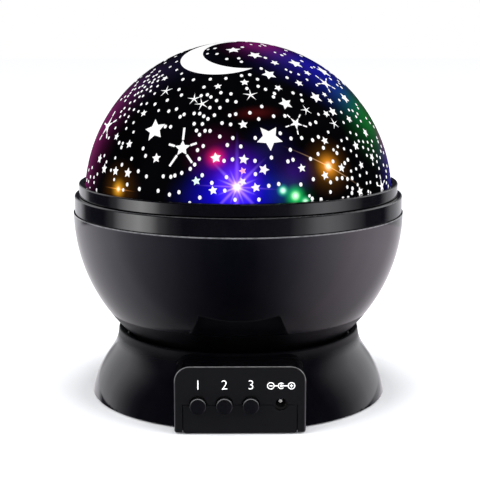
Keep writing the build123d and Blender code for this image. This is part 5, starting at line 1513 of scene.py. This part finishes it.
def make_floor_paint(settings):
    """White floor that keeps the object's shadow and stays out of its gloss."""
    finish = Finish("studio_floor")
    path = finish.node("ShaderNodeLightPath")
    facing = finish.node("ShaderNodeNewGeometry").other("Backfacing")
    paper = finish.noise(finish.place, 900, detail=2.0)
    whites = ((0.3, (0.725, 0.733, 0.755)), (0.7, (0.740, 0.748, 0.770)))
    lit = finish.node("ShaderNodeBsdfDiffuse", {"Color": finish.ramp(paper, whites)})
    # The floor's own white fades near the object, so that its soft shadow shows.
    away = finish.vector("LENGTH", finish.place, output=1)
    reach = settings.shadow_reach
    share = finish.spread(away, reach * SHADOW_WHOLE, reach)
    strength = path.other("Is Camera Ray") * settings.floor_white * share
    own = finish.node("ShaderNodeEmission", {"Color": FLOOR_LIGHT, "Strength": strength})
    both = finish.node("ShaderNodeAddShader", {0: lit, 1: own})
    clear = finish.node("ShaderNodeBsdfTransparent", {"Color": (1.0, 1.0, 1.0, 1.0)})
    hidden = finish.maths("MAXIMUM", path.other("Is Glossy Ray"), facing)
    mixed = finish.node("ShaderNodeMixShader", {0: hidden, 1: both, 2: clear})
    finish.node("ShaderNodeOutputMaterial", {"Surface": mixed})
    return finish.material


# Soft lamps: name, place, aim, width, height in metres, power in watts.
SOFTBOXES = (
    ("softbox_left", (-0.75, -0.45, 0.70), (0, 0, 0.07), 0.7, 0.9, 9.0),
    ("softbox_right", (0.75, -0.45, 0.70), (0, 0, 0.07), 0.7, 0.9, 9.0),
    ("softbox_front", (0.0, -1.10, 0.55), (0, 0, 0.05), 0.8, 0.6, 9.0),
)
FLOOR_TILES = 24


def make_softbox(name, place, aim, width, height, power):
    """Large soft lamp that lights the object and stays out of its gloss."""
    data = bpy.data.lights.new(name, "AREA")
    data.shape = "RECTANGLE"
    data.size = width
    data.size_y = height
    data.energy = power
    lamp = bpy.data.objects.new(name, data)
    lamp.location = place
    lamp.rotation_euler = (Vector(aim) - Vector(place)).to_track_quat("-Z", "Y").to_euler()
    lamp.visible_glossy = False
    lamp.visible_camera = False
    bpy.context.collection.objects.link(lamp)


class NIGHTLIGHT_OT_stage(bpy.types.Operator):
    """Set up the camera, the white floor and the soft studio light"""

    bl_idname = "nightlight.stage"
    bl_label = "Camera and studio"

    def execute(self, context):
        settings = context.scene.nightlight_stage
        scene = context.scene
        scene.view_settings.view_transform = "Standard"
        data = bpy.data.cameras.new("view")
        data.sensor_width = 36.0
        data.lens = settings.lens
        data.clip_start = 0.01
        camera = bpy.data.objects.new("view", data)
        camera.location = settings.camera_place
        camera.rotation_euler = (pi / 2 - settings.camera_drop, 0, settings.camera_turn)
        bpy.context.collection.objects.link(camera)
        scene.camera = camera
        scene.world = make_studio_world(settings)
        for softbox in SOFTBOXES:
            make_softbox(*softbox)
        build = bmesh.new()
        half = settings.floor_size / 2
        bmesh.ops.create_grid(build, x_segments=FLOOR_TILES, y_segments=FLOOR_TILES, size=half)
        mesh = bpy.data.meshes.new("floor")
        build.to_mesh(mesh)
        build.free()
        mesh.materials.append(make_floor_paint(settings))
        place_mesh("floor", mesh)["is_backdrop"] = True
        return {"FINISHED"}


# ---- settings, panel and run ---------------------------------------------------------------------


def size_setting(name, description, default, least, most):
    """A length on the panel, given here in millimetres."""
    return FloatProperty(
        name=name, description=description, default=default * MM, min=least * MM, max=most * MM,
        unit="LENGTH", precision=5,
    )


def share_setting(name, description, default, most=1.0):
    """A factor on the panel, from nothing to a greatest value."""
    return FloatProperty(
        name=name, description=description, default=default, min=0.0, max=most, subtype="FACTOR",
    )


def angle_setting(name, description, degrees):
    """An angle on the panel, given here in degrees."""
    return FloatProperty(
        name=name, description=description, default=radians(degrees), subtype="ANGLE",
    )


class SkySettings(bpy.types.PropertyGroup):
    """Sizes and brightness of the printed night sky."""

    window_height: size_setting(
        "Window height", "How far the windows stand over the print", 0.10, 0.02, 0.5)
    shell_wall: size_setting(
        "Shell wall", "Depth from the dome's outside to the inside of its mask", 1.9, 0.5, 4.0)
    dot_radius: size_setting("Dot radius", "Radius of an ordinary small star", 0.62, 0.2, 2.0)
    dot_spacing: size_setting(
        "Dot spacing", "Least distance between two small stars", 2.3, 1.0, 10.0)
    dot_density: FloatProperty(
        name="Dot density", description="Small stars on a square metre where they crowd most",
        default=95000.0, min=1000.0, max=400000.0,
    )
    dot_seed: IntProperty(
        name="Dot seed", description="Changes where the small stars fall", default=7, min=0,
    )
    tint: share_setting(
        "Edge tint", "Brightness of the coloured light near the dome's edge", 1.0, 4.0)
    glow: share_setting("Lamp glow", "Brightness of the light round each lamp", 1.0, 4.0)
    window_light: share_setting("Window light", "Brightness of the stars and the moon", 1.0, 4.0)


class ShellSettings(bpy.types.PropertyGroup):
    """Finish of the housing and sizes of its printing and screws."""

    gloss: share_setting("Gloss roughness", "Roughness of the polished black plastic", 0.04)
    satin: share_setting("Satin roughness", "Roughness of the textured black plastic", 0.38)
    figure_size: size_setting(
        "Figure size", "Height of the figures over the buttons", 3.4, 1.0, 8.0)
    figure_height: size_setting(
        "Figure level", "Level of the middle of the figures", 18.8, 5.0, 30.0)
    polarity_width: size_setting(
        "Polarity mark width", "Width of the mark over the inlet", 10.2, 4.0, 16.0)
    polarity_height: size_setting(
        "Polarity mark level", "Level of the middle of the mark over the inlet", 18.4, 5.0, 30.0)
    screw_head: size_setting("Screw head height", "Height of a cover screw's head", 1.2, 0.5, 4.0)
    screw_shank: size_setting(
        "Screw shank radius", "Radius of a cover screw's shank", 1.4, 0.5, 4.0)


class StageSettings(bpy.types.PropertyGroup):
    """Camera, floor and light."""

    camera_place: FloatVectorProperty(
        name="Camera place", description="Where the camera stands",
        default=(-5.26 * MM, -522.97 * MM, 156.6 * MM),
        subtype="TRANSLATION", unit="LENGTH", precision=5,
    )
    camera_turn: angle_setting(
        "Camera turn", "How far the camera is turned about the upright", -0.65)
    camera_drop: angle_setting("Camera drop", "How far the camera looks down from level", 10.37)
    lens: FloatProperty(
        name="Lens", description="Focal length in millimetres", default=99.08, min=10.0, max=400.0,
    )
    floor_size: size_setting("Floor size", "Side of the square floor", 6000, 500, 20000)
    floor_white: share_setting(
        "Floor white", "White that the floor adds of its own for the camera", 0.57)
    shadow_reach: size_setting(
        "Shadow reach", "How far from the middle the floor's own white is whole", 92, 10, 2000)
    fill_level: share_setting("Fill level", "Even light from all round", 0.55, 2.0)
    roof_level: share_setting(
        "Roof level", "Brightness that the gloss mirrors straight overhead", 0.35)


# Operators in the order in which they run.
STEPS = (
    "stage", "outer_finishes", "works_finishes", "printed_dome", "sky_windows", "cover_screws",
    "face_print",
)


class NIGHTLIGHT_PT_panel(bpy.types.Panel):
    """The night light's settings and the steps that make it"""

    bl_label = "Star night light"
    bl_idname = "NIGHTLIGHT_PT_panel"
    bl_space_type = "VIEW_3D"
    bl_region_type = "UI"
    bl_category = "Night Light"

    def draw(self, context):
        layout = self.layout
        scene = context.scene
        for group in (scene.nightlight_sky, scene.nightlight_shell, scene.nightlight_stage):
            box = layout.box()
            for name in group.bl_rna.properties.keys():
                if name not in ("rna_type", "name"):
                    box.prop(group, name)
        for step in STEPS:
            layout.operator("nightlight." + step)


CLASSES = (
    SkySettings,
    ShellSettings,
    StageSettings,
    NIGHTLIGHT_OT_stage,
    NIGHTLIGHT_OT_outer_finishes,
    NIGHTLIGHT_OT_works_finishes,
    NIGHTLIGHT_OT_printed_dome,
    NIGHTLIGHT_OT_sky_windows,
    NIGHTLIGHT_OT_cover_screws,
    NIGHTLIGHT_OT_face_print,
    NIGHTLIGHT_PT_panel,
)


def register():
    for item in CLASSES:
        bpy.utils.register_class(item)
    bpy.types.Scene.nightlight_sky = PointerProperty(type=SkySettings)
    bpy.types.Scene.nightlight_shell = PointerProperty(type=ShellSettings)
    bpy.types.Scene.nightlight_stage = PointerProperty(type=StageSettings)


def unregister():
    del bpy.types.Scene.nightlight_stage
    del bpy.types.Scene.nightlight_shell
    del bpy.types.Scene.nightlight_sky
    for item in reversed(CLASSES):
        bpy.utils.unregister_class(item)


def main():
    register()
    for step in STEPS:
        getattr(bpy.ops.nightlight, step)()
    boxes = {"cad": CAD_BOX, "visual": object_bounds()}
    sizes = {name: [list(corner) for corner in box] for name, box in boxes.items()}


if __name__ == "__main__":
    main()
